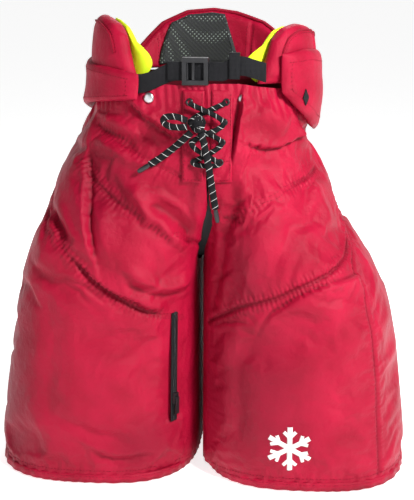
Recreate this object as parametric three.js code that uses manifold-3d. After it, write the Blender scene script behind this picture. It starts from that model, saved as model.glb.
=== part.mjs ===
// Ice hockey pants, standing on the hems of both legs. Millimetres, +Z up, front toward -Y.
// The trunk part (hips) and each leg are separate shells. They meet on a cylinder around the hip axis,
// so each leg swings forward under the hips. Every wall is built of layers: cover, plate, foam and lining.
import * as THREE from 'three';
import { mergeVertices } from 'three/addons/utils/BufferGeometryUtils.js';
import Module from 'manifold-3d';

const wasm = await Module();
wasm.setup();

// ---- driving dimensions ----
const TURN = 2 * Math.PI;
const GRID = 36;
const LAYER_GAP = 0.4;
const COVER_THICKNESS = 3;
const LINER_INSET = 14;
const LINER_THICKNESS = 1.5;
const PLATE_THICKNESS = 2.8;

// Hip axis, and the two radii between which the hips and the legs part
const HIP_AXIS_Z = 385;
const HIP_RADIUS = 124.6;
const LEG_RADIUS = 125.8;
const AXIS_LENGTH = 600;

// Outline of the hips, from the hip sides up to the waist
const HIP_ROWS = [
  { z: 256, halfWidth: 211, halfDepth: 118 },
  { z: 311, halfWidth: 184, halfDepth: 118 },
  { z: 356, halfWidth: 165, halfDepth: 118 },
  { z: 381, halfWidth: 153, halfDepth: 117 },
  { z: 405, halfWidth: 142, halfDepth: 114.5 },
  { z: 445, halfWidth: 132, halfDepth: 107 },
  { z: 490, halfWidth: 128, halfDepth: 99 },
  { z: 570, halfWidth: 128, halfDepth: 99 },
];
const HIP_ROUNDNESS = 2.3;
const WAIST_Z = 484;

// Outline of one leg, from the hem up to the hip crease
const LEG_INSIDE_X = 7;
const LEG_ROWS = [
  { z: 0, outside: 258, halfDepth: 133 },
  { z: 154, outside: 240, halfDepth: 132 },
  { z: 199, outside: 231, halfDepth: 132 },
  { z: 247, outside: 215, halfDepth: 133 },
  { z: 311, outside: 184, halfDepth: 136 },
  { z: 356, outside: 165, halfDepth: 139 },
];
const LEG_ROUNDNESS = 2.8;
const LEG_TOP_Z = 352;
const HEM_HEIGHT = 14;
const HEM_PROUD = 0.6;
const HEM_THICKNESS = 6.5;
const CREASE_NOTCH = { bottomZ: 228, halfWidth: 52, frontY: -160, backY: -50 };
// Room over the crotch for the hanging lace while a leg swings forward, as angles below the front
const LACE_ROOM = { halfWidth: 33, outerRadius: 144, fromAngle: -0.1, toAngle: 1.36 };
const HIP_BOTTOM_Z = 258;
const GUSSET = { halfWidth: 24, innerRadius: 117.5, outerRadius: 121, fromAngle: 0.64, toAngle: 2.5 };
const SECTOR_STEPS = 14;

// Pads inside the walls, as columns of the grid and heights
const HIP_PAD_HEIGHTS = [270, 478];
const HIP_PAD_COLUMNS = { left: [14, 22], right: [-4, 4] };
const TAILBONE_COLUMNS = [23, 31];
const THIGH_PLATE = { columns: [-2, 13], heights: [30, 318] };
const THIGH_FOAM = { columns: [-3, 14], heights: [22, 326] };
const REAR_PAD = { columns: [22, 31], heights: [40, 318] };

// Fly, eyelets and lace
const FLY = { x: 14, slotWidth: 8, bottomZ: 392, placketWidth: 25, placketBottomZ: 378, topZ: 481 };
const FLY_SLOT_Y = [-150, -60];
const PLACKET_THICKNESS = 3;
const TONGUE = { halfWidth: 22, bottomZ: 388, topZ: 478, proud: -6.4, thickness: 2.4 };
const EYELET = { outer: 4.2, bore: 2.1, thickness: 1.5, count: 4, topZ: 469, pitch: 22.5 };
const EYELET_TOP_OFFSET = 21;
const EYELET_BOTTOM_OFFSET = 15;
const LACE_DIAMETER = 4;
const TAIL_DIAMETER = 5;
const AGLET = { length: 16, diameter: 5.6 };
const KNOT = { x: 4, z: 447, halfWidth: 8, halfHeight: 9, halfDepth: 5 };

// Routes of the free lace: x, how far behind the knot's middle (y), z
const BOW_LOOP = [
  [-7.5, 0, 450.5],
  [-20, -1, 455],
  [-32, 1, 454],
  [-35, 3, 449],
  [-30, 2, 444.5],
  [-20, -1, 443],
  [-7.5, 0, 443.5],
];
const LEFT_TAIL = [
  [-3, 0, 437.3],
  [-12, 0, 429],
  [-24, 5.2, 418],
  [-38, 7.2, 407],
  [-52, 7.6, 398],
];
const CENTRE_TAIL = [
  [8, 0, 437.3],
  [12, -3.4, 424],
  [17, -6, 402],
  [21, -6.4, 376],
  [25, -5, 350],
];

// Belt, buckle and keeper
const BELT = { z: 503, height: 22, thickness: 1.5, leftY: -96.65, rightY: -98.95 };
const BELT_LEFT_X = [-86, -8];
const BELT_RIGHT_X = [-34, 86];
const BUCKLE = { x: -1, y: -97.8, width: 30, height: 31, depth: 11 };
const BUCKLE_CHANNEL = { height: 24, depth: 5.6 };
const BUCKLE_WINDOW = { width: 18, height: 19 };
const BUCKLE_BAR = { radius: 1.7, forward: 4.4 };
const KEEPER = { x: 44, width: 12, height: 29, depth: 5.6 };
const TUNNEL_INNER_X = 40;

// Pads above the waist
const WING = { frontColumn: 6, backColumn: -4, gap: 0.6, thickness: 16.5 };
const WING_Z = { frontBottom: 460, backBottom: 436, frontTop: 508, backTop: 506 };
const KIDNEY = { frontColumn: 6, backColumn: -3, bottomZ: 487, topZ: 560, thickness: 13, flare: 13 };
const KIDNEY_LINING = { thickness: 2.5, margin: 0.04, gap: 1.2 };
const SPINE = { halfColumns: 4, bottomZ: 487, topZ: 558, thickness: 17, flare: 8 };
const SPINE_MESH = { halfColumns: 2, bottomZ: 500, topZ: 552, thickness: 1.6 };
const BUTTON = { radius: 8, height: 5.5, neck: 3.2, frontX: 54, frontZ: 472, proud: 0.7 };
const BUTTON_RIM = { underside: 0.45, edge: 0.5, domeRadius: 0.8, domeHeight: 0.85 };
const SIDE_BUTTON = { u: 0.36, v: 0.46, proud: 0.6 };

// Zip on the inner front corner of the left leg
const ZIP = { turn: 0.118, bottomZ: 74, topZ: 214, width: 11, thickness: 1.2, proud: 1.1 };
const SLIDER = { width: 8, length: 13, thickness: 3.4, fromBottom: 9 };
const PULL = { width: 5.5, length: 22, thickness: 1.6 };

// ---- colours ----
const RED = { color: '#b51733', roughness: 0.62, metalness: 0 };
const LINING = { color: '#8d1429', roughness: 0.85, metalness: 0 };
const BLACK_WEB = { color: '#17171a', roughness: 0.8, metalness: 0 };
const BLACK_MESH = { color: '#222427', roughness: 0.9, metalness: 0 };
const NEON = { color: '#d8f02c', roughness: 0.8, metalness: 0 };
const FOAM = { color: '#d9d6cc', roughness: 0.95, metalness: 0 };
const PLATE = { color: '#e9e9e4', roughness: 0.45, metalness: 0 };
const MOULDED = { color: '#101012', roughness: 0.35, metalness: 0 };
const SILVER = { color: '#c9ccd0', roughness: 0.25, metalness: 1 };

const pants = new THREE.Group();

// ---- building helpers ----
function addPart(name, geometry, look) {
  const mesh = new THREE.Mesh(geometry, new THREE.MeshStandardMaterial(look));
  mesh.name = name;
  pants.add(mesh);
  return mesh;
}

function mix(from, to, share) {
  return from + (to - from) * share;
}

// Row of an outline at height z, between the two rows around it
function rowAt(rows, z) {
  let k = 0;
  while (k < rows.length - 2 && z > rows[k + 1].z) {
    k += 1;
  }
  const share = (z - rows[k].z) / (rows[k + 1].z - rows[k].z);
  const row = {};
  for (const key of Object.keys(rows[k])) {
    row[key] = mix(rows[k][key], rows[k + 1][key], share);
  }
  return row;
}

// Point of a rounded outline. Turn 0 is at +X, and a quarter turn is at the front, -Y.
function outlinePoint(centreX, halfWidth, halfDepth, roundness, turn) {
  const c = Math.cos(turn * TURN);
  const s = Math.sin(turn * TURN);
  const k = (Math.abs(c) ** roundness + Math.abs(s) ** roundness) ** (-1 / roundness);
  return [centreX + halfWidth * c * k, -halfDepth * s * k];
}

function hipPoint(turn, z, inset) {
  const row = rowAt(HIP_ROWS, z);
  const [x, y] = outlinePoint(0, row.halfWidth - inset, row.halfDepth - inset, HIP_ROUNDNESS, turn);
  return [x, y, z];
}

function legPoint(side, turn, z, inset) {
  const row = rowAt(LEG_ROWS, z);
  const centre = (LEG_INSIDE_X + row.outside) / 2;
  const half = (row.outside - LEG_INSIDE_X) / 2;
  const [x, y] = outlinePoint(centre, half - inset, row.halfDepth - inset, LEG_ROUNDNESS, turn);
  return [side * x, y, z];
}

function signedVolume(positions, triangles) {
  let volume = 0;
  for (let t = 0; t < triangles.length; t += 3) {
    const [a, b, c] = [0, 1, 2].map((k) => positions.slice(3 * triangles[t + k], 3 * triangles[t + k] + 3));
    volume += a[0] * (b[1] * c[2] - b[2] * c[1]);
    volume += a[1] * (b[2] * c[0] - b[0] * c[2]);
    volume += a[2] * (b[0] * c[1] - b[1] * c[0]);
  }
  return volume / 6;
}

function solidGeometry(positions, triangles) {
  if (signedVolume(positions, triangles) < 0) {
    triangles.reverse();
  }
  const geometry = new THREE.BufferGeometry();
  geometry.setAttribute('position', new THREE.Float32BufferAttribute(positions, 3));
  geometry.setIndex(triangles);
  geometry.computeVertexNormals();
  return geometry;
}

// Closed solid between two parallel surfaces. pointAt(u, v, w) gives the outer face at w 0 and the inner
// face at w 1. A wrapped slab goes all the way round in u, as a tube wall does.
function slab(pointAt, columns, rows, wrapped = false) {
  const across = wrapped ? columns : columns + 1;
  const positions = [];
  for (let w = 0; w <= 1; w += 1) {
    for (let j = 0; j <= rows; j += 1) {
      for (let i = 0; i < across; i += 1) {
        positions.push(...pointAt(i / columns, j / rows, w));
      }
    }
  }
  const id = (i, j, w) => w * across * (rows + 1) + j * across + (i % across);
  const triangles = [];
  const quad = (a, b, c, d) => triangles.push(a, b, c, a, c, d);
  for (let j = 0; j < rows; j += 1) {
    for (let i = 0; i < columns; i += 1) {
      quad(id(i, j, 0), id(i + 1, j, 0), id(i + 1, j + 1, 0), id(i, j + 1, 0));
      quad(id(i, j, 1), id(i, j + 1, 1), id(i + 1, j + 1, 1), id(i + 1, j, 1));
    }
  }
  for (let i = 0; i < columns; i += 1) {
    quad(id(i, 0, 0), id(i, 0, 1), id(i + 1, 0, 1), id(i + 1, 0, 0));
    quad(id(i, rows, 0), id(i + 1, rows, 0), id(i + 1, rows, 1), id(i, rows, 1));
  }
  if (!wrapped) {
    for (let j = 0; j < rows; j += 1) {
      quad(id(0, j, 0), id(0, j + 1, 0), id(0, j + 1, 1), id(0, j, 1));
      quad(id(columns, j, 0), id(columns, j, 1), id(columns, j + 1, 1), id(columns, j + 1, 0));
    }
  }
  return solidGeometry(positions, triangles);
}

function toManifold(geometry) {
  const bare = geometry.clone();
  bare.deleteAttribute('normal');
  bare.deleteAttribute('uv');
  const merged = mergeVertices(bare, 1e-4);
  return new wasm.Manifold(new wasm.Mesh({
    numProp: 3,
    vertProperties: new Float32Array(merged.attributes.position.array),
    triVerts: new Uint32Array(merged.index.array),
  }));
}

function fromManifold(solid) {
  const mesh = solid.getMesh();
  const geometry = new THREE.BufferGeometry();
  geometry.setAttribute('position', new THREE.BufferAttribute(Float32Array.from(mesh.vertProperties), 3));
  geometry.setIndex(Array.from(mesh.triVerts));
  geometry.computeVertexNormals();
  return geometry;
}

function cut(geometry, ...tools) {
  let solid = toManifold(geometry);
  for (const tool of tools) {
    solid = solid.subtract(toManifold(tool));
  }
  return fromManifold(solid);
}

function boxBetween(x0, x1, y0, y1, z0, z1) {
  const box = new THREE.BoxGeometry(x1 - x0, y1 - y0, z1 - z0);
  box.translate((x0 + x1) / 2, (y0 + y1) / 2, (z0 + z1) / 2);
  return box;
}

function hipCylinder(radius) {
  const cylinder = new THREE.CylinderGeometry(radius, radius, AXIS_LENGTH, 52);
  cylinder.rotateZ(Math.PI / 2);
  cylinder.translate(0, 0, HIP_AXIS_Z);
  return cylinder;
}

// Everything of the hips lies inside the cylinder or above the hip axis
function keepInHips(geometry) {
  const above = boxBetween(-AXIS_LENGTH, AXIS_LENGTH, -AXIS_LENGTH, AXIS_LENGTH, HIP_AXIS_Z, 2 * HIP_AXIS_Z);
  const zone = toManifold(hipCylinder(HIP_RADIUS)).add(toManifold(above));
  return fromManifold(toManifold(geometry).intersect(zone));
}

function creaseNotch() {
  const shape = new THREE.Shape();
  shape.moveTo(0, CREASE_NOTCH.bottomZ);
  shape.lineTo(CREASE_NOTCH.halfWidth, LEG_TOP_Z + 1);
  shape.lineTo(-CREASE_NOTCH.halfWidth, LEG_TOP_Z + 1);
  shape.closePath();
  const depth = CREASE_NOTCH.backY - CREASE_NOTCH.frontY;
  const prism = new THREE.ExtrudeGeometry(shape, { depth, bevelEnabled: false });
  prism.rotateX(Math.PI / 2);
  prism.translate(0, CREASE_NOTCH.backY, 0);
  return prism;
}

// Bent plate around the hip axis. Angles are measured down from the front, in radians.
function hipSector(innerRadius, outerRadius, options) {
  const { halfWidth, fromAngle, toAngle } = options;
  const corners = [];
  const addArc = (radius, from, to) => {
    for (let k = 0; k <= SECTOR_STEPS; k += 1) {
      const angle = mix(from, to, k / SECTOR_STEPS);
      corners.push(new THREE.Vector2(-radius * Math.cos(angle), -radius * Math.sin(angle)));
    }
  };
  addArc(outerRadius, fromAngle, toAngle);
  addArc(innerRadius, toAngle, fromAngle);
  const shape = new THREE.Shape(corners);
  const plate = new THREE.ExtrudeGeometry(shape, { depth: 2 * halfWidth, bevelEnabled: false });
  plate.translate(0, 0, -halfWidth);
  plate.rotateX(Math.PI / 2);
  plate.rotateZ(Math.PI / 2);
  plate.translate(0, 0, HIP_AXIS_Z);
  return plate;
}

function keepInLeg(geometry) {
  const laceRoom = hipSector(HIP_RADIUS, LACE_ROOM.outerRadius, LACE_ROOM);
  return cut(geometry, hipCylinder(LEG_RADIUS), creaseNotch(), laceRoom);
}

// Places a shape that was drawn with Z along, Y out of the surface and X across it
function placeOn(geometry, origin, along, out) {
  const z = along.clone().normalize();
  const y = out.clone().addScaledVector(z, -out.dot(z)).normalize();
  const x = new THREE.Vector3().crossVectors(y, z);
  geometry.applyMatrix4(new THREE.Matrix4().makeBasis(x, y, z).setPosition(origin));
  return geometry;
}

function tube(points, diameter, sides, steps) {
  const corners = [];
  for (let k = 0; k < sides; k += 1) {
    const angle = (k / sides) * TURN;
    corners.push(new THREE.Vector2((diameter / 2) * Math.cos(angle), (diameter / 2) * Math.sin(angle)));
  }
  const section = new THREE.Shape(corners);
  const path = new THREE.CatmullRomCurve3(points.map((p) => new THREE.Vector3(...p)), false, 'centripetal');
  return new THREE.ExtrudeGeometry(section, { steps, extrudePath: path, bevelEnabled: false });
}

// One layer of a wall. Its columns lie on the grid that all layers share, and its rows include those of the
// outline, so neighbouring layers stay parallel.
function layer(pointAt, rows, options) {
  const { columns, heights, inset, thickness } = options;
  const levels = [heights[0]];
  for (const row of rows) {
    if (row.z > heights[0] + 1 && row.z < heights[1] - 1) {
      levels.push(row.z);
    }
  }
  levels.push(heights[1]);
  const count = columns[1] - columns[0];
  const at = (u, v, w) => {
    const z = levels[Math.round(v * (levels.length - 1))];
    return pointAt(mix(columns[0], columns[1], u) / GRID, z, inset + w * thickness);
  };
  return slab(at, count, levels.length - 1, count === GRID);
}

// ---- hips: cover, pads and lining ----
const FULL = [0, GRID];
const padInset = COVER_THICKNESS + LAYER_GAP;
const padThickness = LINER_INSET - LAYER_GAP - padInset;

function hipLayer(options) {
  return keepInHips(layer(hipPoint, HIP_ROWS, options));
}

const hipCover = hipLayer({ columns: FULL, heights: [HIP_BOTTOM_Z, WAIST_Z], inset: 0, thickness: COVER_THICKNESS });
const flySlotX = [FLY.x - FLY.slotWidth / 2, FLY.x + FLY.slotWidth / 2];
const flySlot = boxBetween(...flySlotX, ...FLY_SLOT_Y, FLY.bottomZ, WAIST_Z + 10);
addPart('hip_cover', cut(hipCover, flySlot), RED);
addPart('hip_liner', hipLayer({
  columns: FULL, heights: [HIP_BOTTOM_Z, WAIST_Z], inset: LINER_INSET, thickness: LINER_THICKNESS,
}), LINING);

const hipPad = { heights: HIP_PAD_HEIGHTS, inset: padInset, thickness: padThickness };
addPart('hip_pad_left', hipLayer({ ...hipPad, columns: HIP_PAD_COLUMNS.left }), FOAM);
addPart('hip_pad_right', hipLayer({ ...hipPad, columns: HIP_PAD_COLUMNS.right }), FOAM);
addPart('tailbone_pad', hipLayer({ ...hipPad, columns: TAILBONE_COLUMNS }), FOAM);

// Gusset between the legs, bent round the hip axis
addPart('crotch_gusset', hipSector(GUSSET.innerRadius, GUSSET.outerRadius, GUSSET), BLACK_MESH);

// ---- fly: tongue, plackets, eyelets and lace ----
function frontPoint(x, z, proud) {
  const row = rowAt(HIP_ROWS, z);
  const share = (Math.abs(x) / (row.halfWidth + proud)) ** HIP_ROUNDNESS;
  return [x, -(row.halfDepth + proud) * (1 - share) ** (1 / HIP_ROUNDNESS), z];
}

function frontPanel(x0, x1, z0, z1, proud, thickness) {
  const at = (u, v, w) => frontPoint(mix(x0, x1, u), mix(z0, z1, v), proud + (1 - w) * thickness);
  return slab(at, 4, 6);
}

const tongueX = [FLY.x - TONGUE.halfWidth, FLY.x + TONGUE.halfWidth];
const tongueZ = [TONGUE.bottomZ, TONGUE.topZ];
addPart('fly_tongue', frontPanel(...tongueX, ...tongueZ, TONGUE.proud, TONGUE.thickness), LINING);
const placketInner = FLY.slotWidth / 2;
for (const [name, side] of [['left', -1], ['right', 1]]) {
  const edges = [FLY.x + side * placketInner, FLY.x + side * (placketInner + FLY.placketWidth)];
  edges.sort((a, b) => a - b);
  addPart(`fly_placket_${name}`, frontPanel(
    edges[0], edges[1], FLY.placketBottomZ, FLY.topZ, LAYER_GAP, PLACKET_THICKNESS,
  ), RED);
}

function eyeletX(side, k) {
  return FLY.x + side * mix(EYELET_TOP_OFFSET, EYELET_BOTTOM_OFFSET, k / (EYELET.count - 1));
}

function eyeletZ(k) {
  return EYELET.topZ - k * EYELET.pitch;
}

const eyeletBase = LAYER_GAP + PLACKET_THICKNESS + LAYER_GAP;
const eyeletProfile = [
  new THREE.Vector2(EYELET.bore, 0),
  new THREE.Vector2(EYELET.outer, 0),
  new THREE.Vector2(EYELET.outer - 0.8, EYELET.thickness),
  new THREE.Vector2(EYELET.bore, EYELET.thickness),
  new THREE.Vector2(EYELET.bore, 0),
];
for (const [name, side] of [['left', -1], ['right', 1]]) {
  for (let k = 0; k < EYELET.count; k += 1) {
    const eyelet = new THREE.LatheGeometry(eyeletProfile, 10);
    const here = new THREE.Vector3(...frontPoint(eyeletX(side, k), eyeletZ(k), eyeletBase + 0.3));
    const above = new THREE.Vector3(...frontPoint(eyeletX(side, k), eyeletZ(k) + 1, eyeletBase + 0.3));
    placeOn(eyelet, here, above.sub(here), new THREE.Vector3(0, -1, 0));
    addPart(`eyelet_${name}_${k + 1}`, eyelet, BLACK_WEB);
  }
}

// The lace goes down one zigzag, across the bottom pair and up the other zigzag in front of the first
const laceNear = eyeletBase + EYELET.thickness + 0.9 + LACE_DIAMETER / 2;
const laceFar = laceNear + LACE_DIAMETER + 0.8;
const lacePoints = [];
for (let k = 0; k < EYELET.count; k += 1) {
  const side = k % 2 === 0 ? 1 : -1;
  lacePoints.push(frontPoint(eyeletX(side, k), eyeletZ(k), laceNear));
}
for (let k = EYELET.count - 1; k >= 0; k -= 1) {
  const side = k % 2 === 0 ? -1 : 1;
  lacePoints.push(frontPoint(eyeletX(side, k), eyeletZ(k), laceFar));
}
addPart('lace_crossings', tube(lacePoints, LACE_DIAMETER, 8, 36), BLACK_WEB);

const knotProud = laceFar + LACE_DIAMETER / 2 + 0.6 + KNOT.halfDepth;
const knotCentre = frontPoint(KNOT.x, KNOT.z, knotProud);
const knot = new THREE.SphereGeometry(1, 12, 8);
knot.scale(KNOT.halfWidth, KNOT.halfDepth, KNOT.halfHeight);
knot.translate(...knotCentre);
addPart('lace_knot', knot, BLACK_WEB);

function behindKnot(route) {
  return route.map(([x, back, z]) => [x, knotCentre[1] + back, z]);
}

addPart('lace_bow_loop', tube(behindKnot(BOW_LOOP), LACE_DIAMETER, 8, 16), BLACK_WEB);
for (const [name, route] of [['left', LEFT_TAIL], ['centre', CENTRE_TAIL]]) {
  const points = behindKnot(route);
  addPart(`lace_tail_${name}`, tube(points, TAIL_DIAMETER, 8, 9), BLACK_WEB);
  const last = new THREE.Vector3(...points[points.length - 1]);
  const before = new THREE.Vector3(...points[points.length - 2]);
  const along = last.clone().sub(before).normalize();
  const aglet = new THREE.CylinderGeometry(AGLET.diameter / 2, AGLET.diameter / 2, AGLET.length, 10);
  aglet.rotateX(Math.PI / 2);
  const centre = last.clone().addScaledVector(along, AGLET.length / 2 + 0.3);
  placeOn(aglet, centre, along, new THREE.Vector3(0, -1, 0));
  addPart(`lace_tip_${name}`, aglet, BLACK_WEB);
}

// ---- belt, buckle and keeper ----
function beltBox(xRange, y, clearance) {
  const halfHeight = BELT.height / 2 + clearance;
  const halfThickness = BELT.thickness / 2 + clearance;
  return boxBetween(
    xRange[0], xRange[1], y - halfThickness, y + halfThickness, BELT.z - halfHeight, BELT.z + halfHeight,
  );
}
addPart('belt_left', beltBox(BELT_LEFT_X, BELT.leftY, 0), BLACK_WEB);
addPart('belt_right', beltBox(BELT_RIGHT_X, BELT.rightY, 0), BLACK_WEB);

function centredBox(x, y, z, width, depth, height) {
  return boxBetween(x - width / 2, x + width / 2, y - depth / 2, y + depth / 2, z - height / 2, z + height / 2);
}
const buckleBody = centredBox(BUCKLE.x, BUCKLE.y, BELT.z, BUCKLE.width, BUCKLE.depth, BUCKLE.height);
const buckleChannel = centredBox(
  BUCKLE.x, BUCKLE.y, BELT.z, BUCKLE.width + 2, BUCKLE_CHANNEL.depth, BUCKLE_CHANNEL.height,
);
const buckleWindow = centredBox(
  BUCKLE.x, BUCKLE.y - BUCKLE.depth / 2, BELT.z, BUCKLE_WINDOW.width, BUCKLE.depth, BUCKLE_WINDOW.height,
);
addPart('buckle_frame', cut(buckleBody, buckleChannel, buckleWindow), MOULDED);
const barLength = BUCKLE_WINDOW.height - 0.6;
const buckleBar = new THREE.CylinderGeometry(BUCKLE_BAR.radius, BUCKLE_BAR.radius, barLength, 12);
buckleBar.rotateX(Math.PI / 2);
buckleBar.translate(BUCKLE.x, BUCKLE.y - BUCKLE_BAR.forward, BELT.z);
addPart('buckle_bar', buckleBar, MOULDED);
const keeperBody = centredBox(KEEPER.x, BELT.rightY, BELT.z, KEEPER.width, KEEPER.depth, KEEPER.height);
const keeperPassage = beltBox([KEEPER.x - KEEPER.width, KEEPER.x + KEEPER.width], BELT.rightY, LAYER_GAP);
addPart('belt_keeper', cut(keeperBody, keeperPassage), BLACK_WEB);

// ---- pads above the waist ----
function wingPoint(u, v, w) {
  const turn = mix(WING.frontColumn, WING.backColumn, u) / GRID;
  const fall = Math.min(1, 3 * u);
  const low = mix(WING_Z.frontBottom, WING_Z.backBottom, fall);
  const high = mix(WING_Z.frontTop, WING_Z.backTop, fall);
  return hipPoint(turn, mix(low, high, v), -WING.gap - (1 - w) * WING.thickness);
}

function kidneyPoint(u, v, inset) {
  const turn = mix(KIDNEY.frontColumn, KIDNEY.backColumn, u) / GRID;
  const shoulder = 1 - Math.abs(2 * u - 1) ** 3 * 0.35;
  const z = mix(KIDNEY.bottomZ, mix(KIDNEY.bottomZ, KIDNEY.topZ, shoulder), v);
  const lean = KIDNEY.flare * Math.max(0, (z - 512) / (KIDNEY.topZ - 512)) ** 1.5;
  return hipPoint(turn, z, inset - lean);
}

function spinePoint(u, v, inset, pad) {
  const turn = 0.75 + mix(-pad.halfColumns, pad.halfColumns, u) / GRID;
  const shoulder = 1 - Math.abs(2 * u - 1) ** 3 * 0.4;
  const z = mix(pad.bottomZ, mix(pad.bottomZ, pad.topZ, shoulder), v);
  const lean = SPINE.flare * ((z - SPINE.bottomZ) / (SPINE.topZ - SPINE.bottomZ)) ** 2;
  return hipPoint(turn, z, inset - lean);
}

function mirroredAt(side, pointAt) {
  return (u, v, w) => {
    const [x, y, z] = pointAt(u, v, w);
    return [side * x, y, z];
  };
}

function domeButton(point, out) {
  const profile = [
    new THREE.Vector2(0, 0),
    new THREE.Vector2(BUTTON.neck, 0),
    new THREE.Vector2(BUTTON.neck, BUTTON.height * BUTTON_RIM.underside),
    new THREE.Vector2(BUTTON.radius, BUTTON.height * BUTTON_RIM.edge),
    new THREE.Vector2(BUTTON.radius * BUTTON_RIM.domeRadius, BUTTON.height * BUTTON_RIM.domeHeight),
    new THREE.Vector2(0, BUTTON.height),
  ];
  return placeOn(new THREE.LatheGeometry(profile, 14), point, new THREE.Vector3(0, 0, 1), out);
}

for (const [name, side] of [['left', -1], ['right', 1]]) {
  const wing = slab(mirroredAt(side, wingPoint), WING.frontColumn - WING.backColumn, 4);
  const tunnel = side < 0
    ? beltBox([BELT_LEFT_X[0] - 1, -TUNNEL_INNER_X], BELT.leftY, 0.5)
    : beltBox([TUNNEL_INNER_X, BELT_RIGHT_X[1] + 1], BELT.rightY, 0.5);
  addPart(`belt_pad_${name}`, cut(wing, tunnel), RED);

  const kidney = (u, v, w) => kidneyPoint(u, v, w * KIDNEY.thickness);
  addPart(`kidney_pad_${name}`, slab(mirroredAt(side, kidney), KIDNEY.frontColumn - KIDNEY.backColumn, 6), RED);
  const liningInset = KIDNEY.thickness + KIDNEY_LINING.gap;
  const inside = (share) => mix(KIDNEY_LINING.margin, 1 - KIDNEY_LINING.margin, share);
  const lining = (u, v, w) => kidneyPoint(inside(u), inside(v), liningInset + w * KIDNEY_LINING.thickness);
  addPart(`kidney_lining_${name}`, slab(mirroredAt(side, lining), KIDNEY.frontColumn - KIDNEY.backColumn, 6), NEON);

  const frontButton = new THREE.Vector3(...frontPoint(side * BUTTON.frontX, BUTTON.frontZ, BUTTON.proud));
  const beside = new THREE.Vector3(...frontPoint(side * (BUTTON.frontX + 1), BUTTON.frontZ, BUTTON.proud));
  const across = beside.sub(frontButton);
  const frontOut = new THREE.Vector3(side * across.y, -side * across.x, 0);
  addPart(`suspender_button_front_${name}`, domeButton(frontButton, frontOut), SILVER);
  const padPoint = kidneyPoint(SIDE_BUTTON.u, SIDE_BUTTON.v, -SIDE_BUTTON.proud);
  const padOutPoint = kidneyPoint(SIDE_BUTTON.u, SIDE_BUTTON.v, -10);
  const sideButton = new THREE.Vector3(side * padPoint[0], padPoint[1], padPoint[2]);
  const sideOut = new THREE.Vector3(side * padOutPoint[0], padOutPoint[1], padOutPoint[2]).sub(sideButton);
  addPart(`suspender_button_side_${name}`, domeButton(sideButton, sideOut), SILVER);
}
addPart('spine_pad', slab((u, v, w) => spinePoint(u, v, w * SPINE.thickness, SPINE), 8, 6), RED);
const meshInset = SPINE.thickness + LAYER_GAP;
const spineMesh = (u, v, w) => spinePoint(u, v, meshInset + w * SPINE_MESH.thickness, SPINE_MESH);
addPart('spine_mesh_panel', slab(spineMesh, 4, 5), BLACK_MESH);

// ---- legs ----
for (const [name, side] of [['left', -1], ['right', 1]]) {
  const at = (turn, z, inset) => legPoint(side, turn, z, inset);
  const legLayer = (options) => layer(at, LEG_ROWS, options);
  const coverBottom = HEM_HEIGHT + LAYER_GAP;
  addPart(`leg_cover_${name}`, keepInLeg(legLayer({
    columns: FULL, heights: [coverBottom, LEG_TOP_Z], inset: 0, thickness: COVER_THICKNESS,
  })), RED);
  addPart(`hem_band_${name}`, legLayer({
    columns: FULL, heights: [0, HEM_HEIGHT], inset: -HEM_PROUD, thickness: HEM_THICKNESS,
  }), RED);
  addPart(`leg_liner_${name}`, keepInLeg(legLayer({
    columns: FULL, heights: [coverBottom, LEG_TOP_Z - 4], inset: LINER_INSET, thickness: LINER_THICKNESS,
  })), LINING);
  addPart(`thigh_plate_${name}`, keepInLeg(legLayer({
    ...THIGH_PLATE, inset: padInset, thickness: PLATE_THICKNESS,
  })), PLATE);
  addPart(`thigh_foam_${name}`, keepInLeg(legLayer({
    ...THIGH_FOAM,
    inset: padInset + PLATE_THICKNESS + LAYER_GAP,
    thickness: padThickness - PLATE_THICKNESS - LAYER_GAP,
  })), FOAM);
  addPart(`rear_pad_${name}`, keepInLeg(legLayer({
    ...REAR_PAD, inset: padInset, thickness: padThickness,
  })), FOAM);
}

// ---- zip ----
const zipTurn = 0.5 - ZIP.turn;
const surface = (z, proud) => new THREE.Vector3(...legPoint(-1, zipTurn, z, -proud));
const low = surface(ZIP.bottomZ, ZIP.proud);
const high = surface(ZIP.topZ, ZIP.proud);
const along = high.clone().sub(low);
const beside = new THREE.Vector3(...legPoint(-1, zipTurn + 0.01, ZIP.bottomZ, -ZIP.proud)).sub(low);
const out = new THREE.Vector3().crossVectors(beside, along).normalize();
if (out.y > 0) {
  out.negate();
}
const tape = new THREE.BoxGeometry(ZIP.width, ZIP.thickness, along.length());
const tapeMiddle = low.clone().add(high).multiplyScalar(0.5);
addPart('zip_tape', placeOn(tape, tapeMiddle, along, out), BLACK_WEB);

const unit = along.clone().normalize();
const sliderProud = ZIP.thickness / 2 + 0.3 + SLIDER.thickness / 2;
const sliderCentre = low.clone().addScaledVector(unit, SLIDER.fromBottom + PULL.length);
sliderCentre.addScaledVector(out, sliderProud);
const slider = new THREE.BoxGeometry(SLIDER.width, SLIDER.thickness, SLIDER.length);
addPart('zip_slider', placeOn(slider, sliderCentre, along, out), MOULDED);
const pullProud = SLIDER.thickness / 2 + 0.5 + PULL.thickness / 2;
const pullCentre = sliderCentre.clone().addScaledVector(out, pullProud);
pullCentre.addScaledVector(unit, 2 - PULL.length / 2);
const pull = new THREE.BoxGeometry(PULL.width, PULL.thickness, PULL.length);
addPart('zip_pull', placeOn(pull, pullCentre, along, out), MOULDED);

export default pants;
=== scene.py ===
"""Ice hockey pants in red nylon: the looks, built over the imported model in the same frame, in metres."""
import math
from functools import partial

import bmesh
import bpy
import numpy as np
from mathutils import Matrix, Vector
from mathutils.bvhtree import BVHTree


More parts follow.
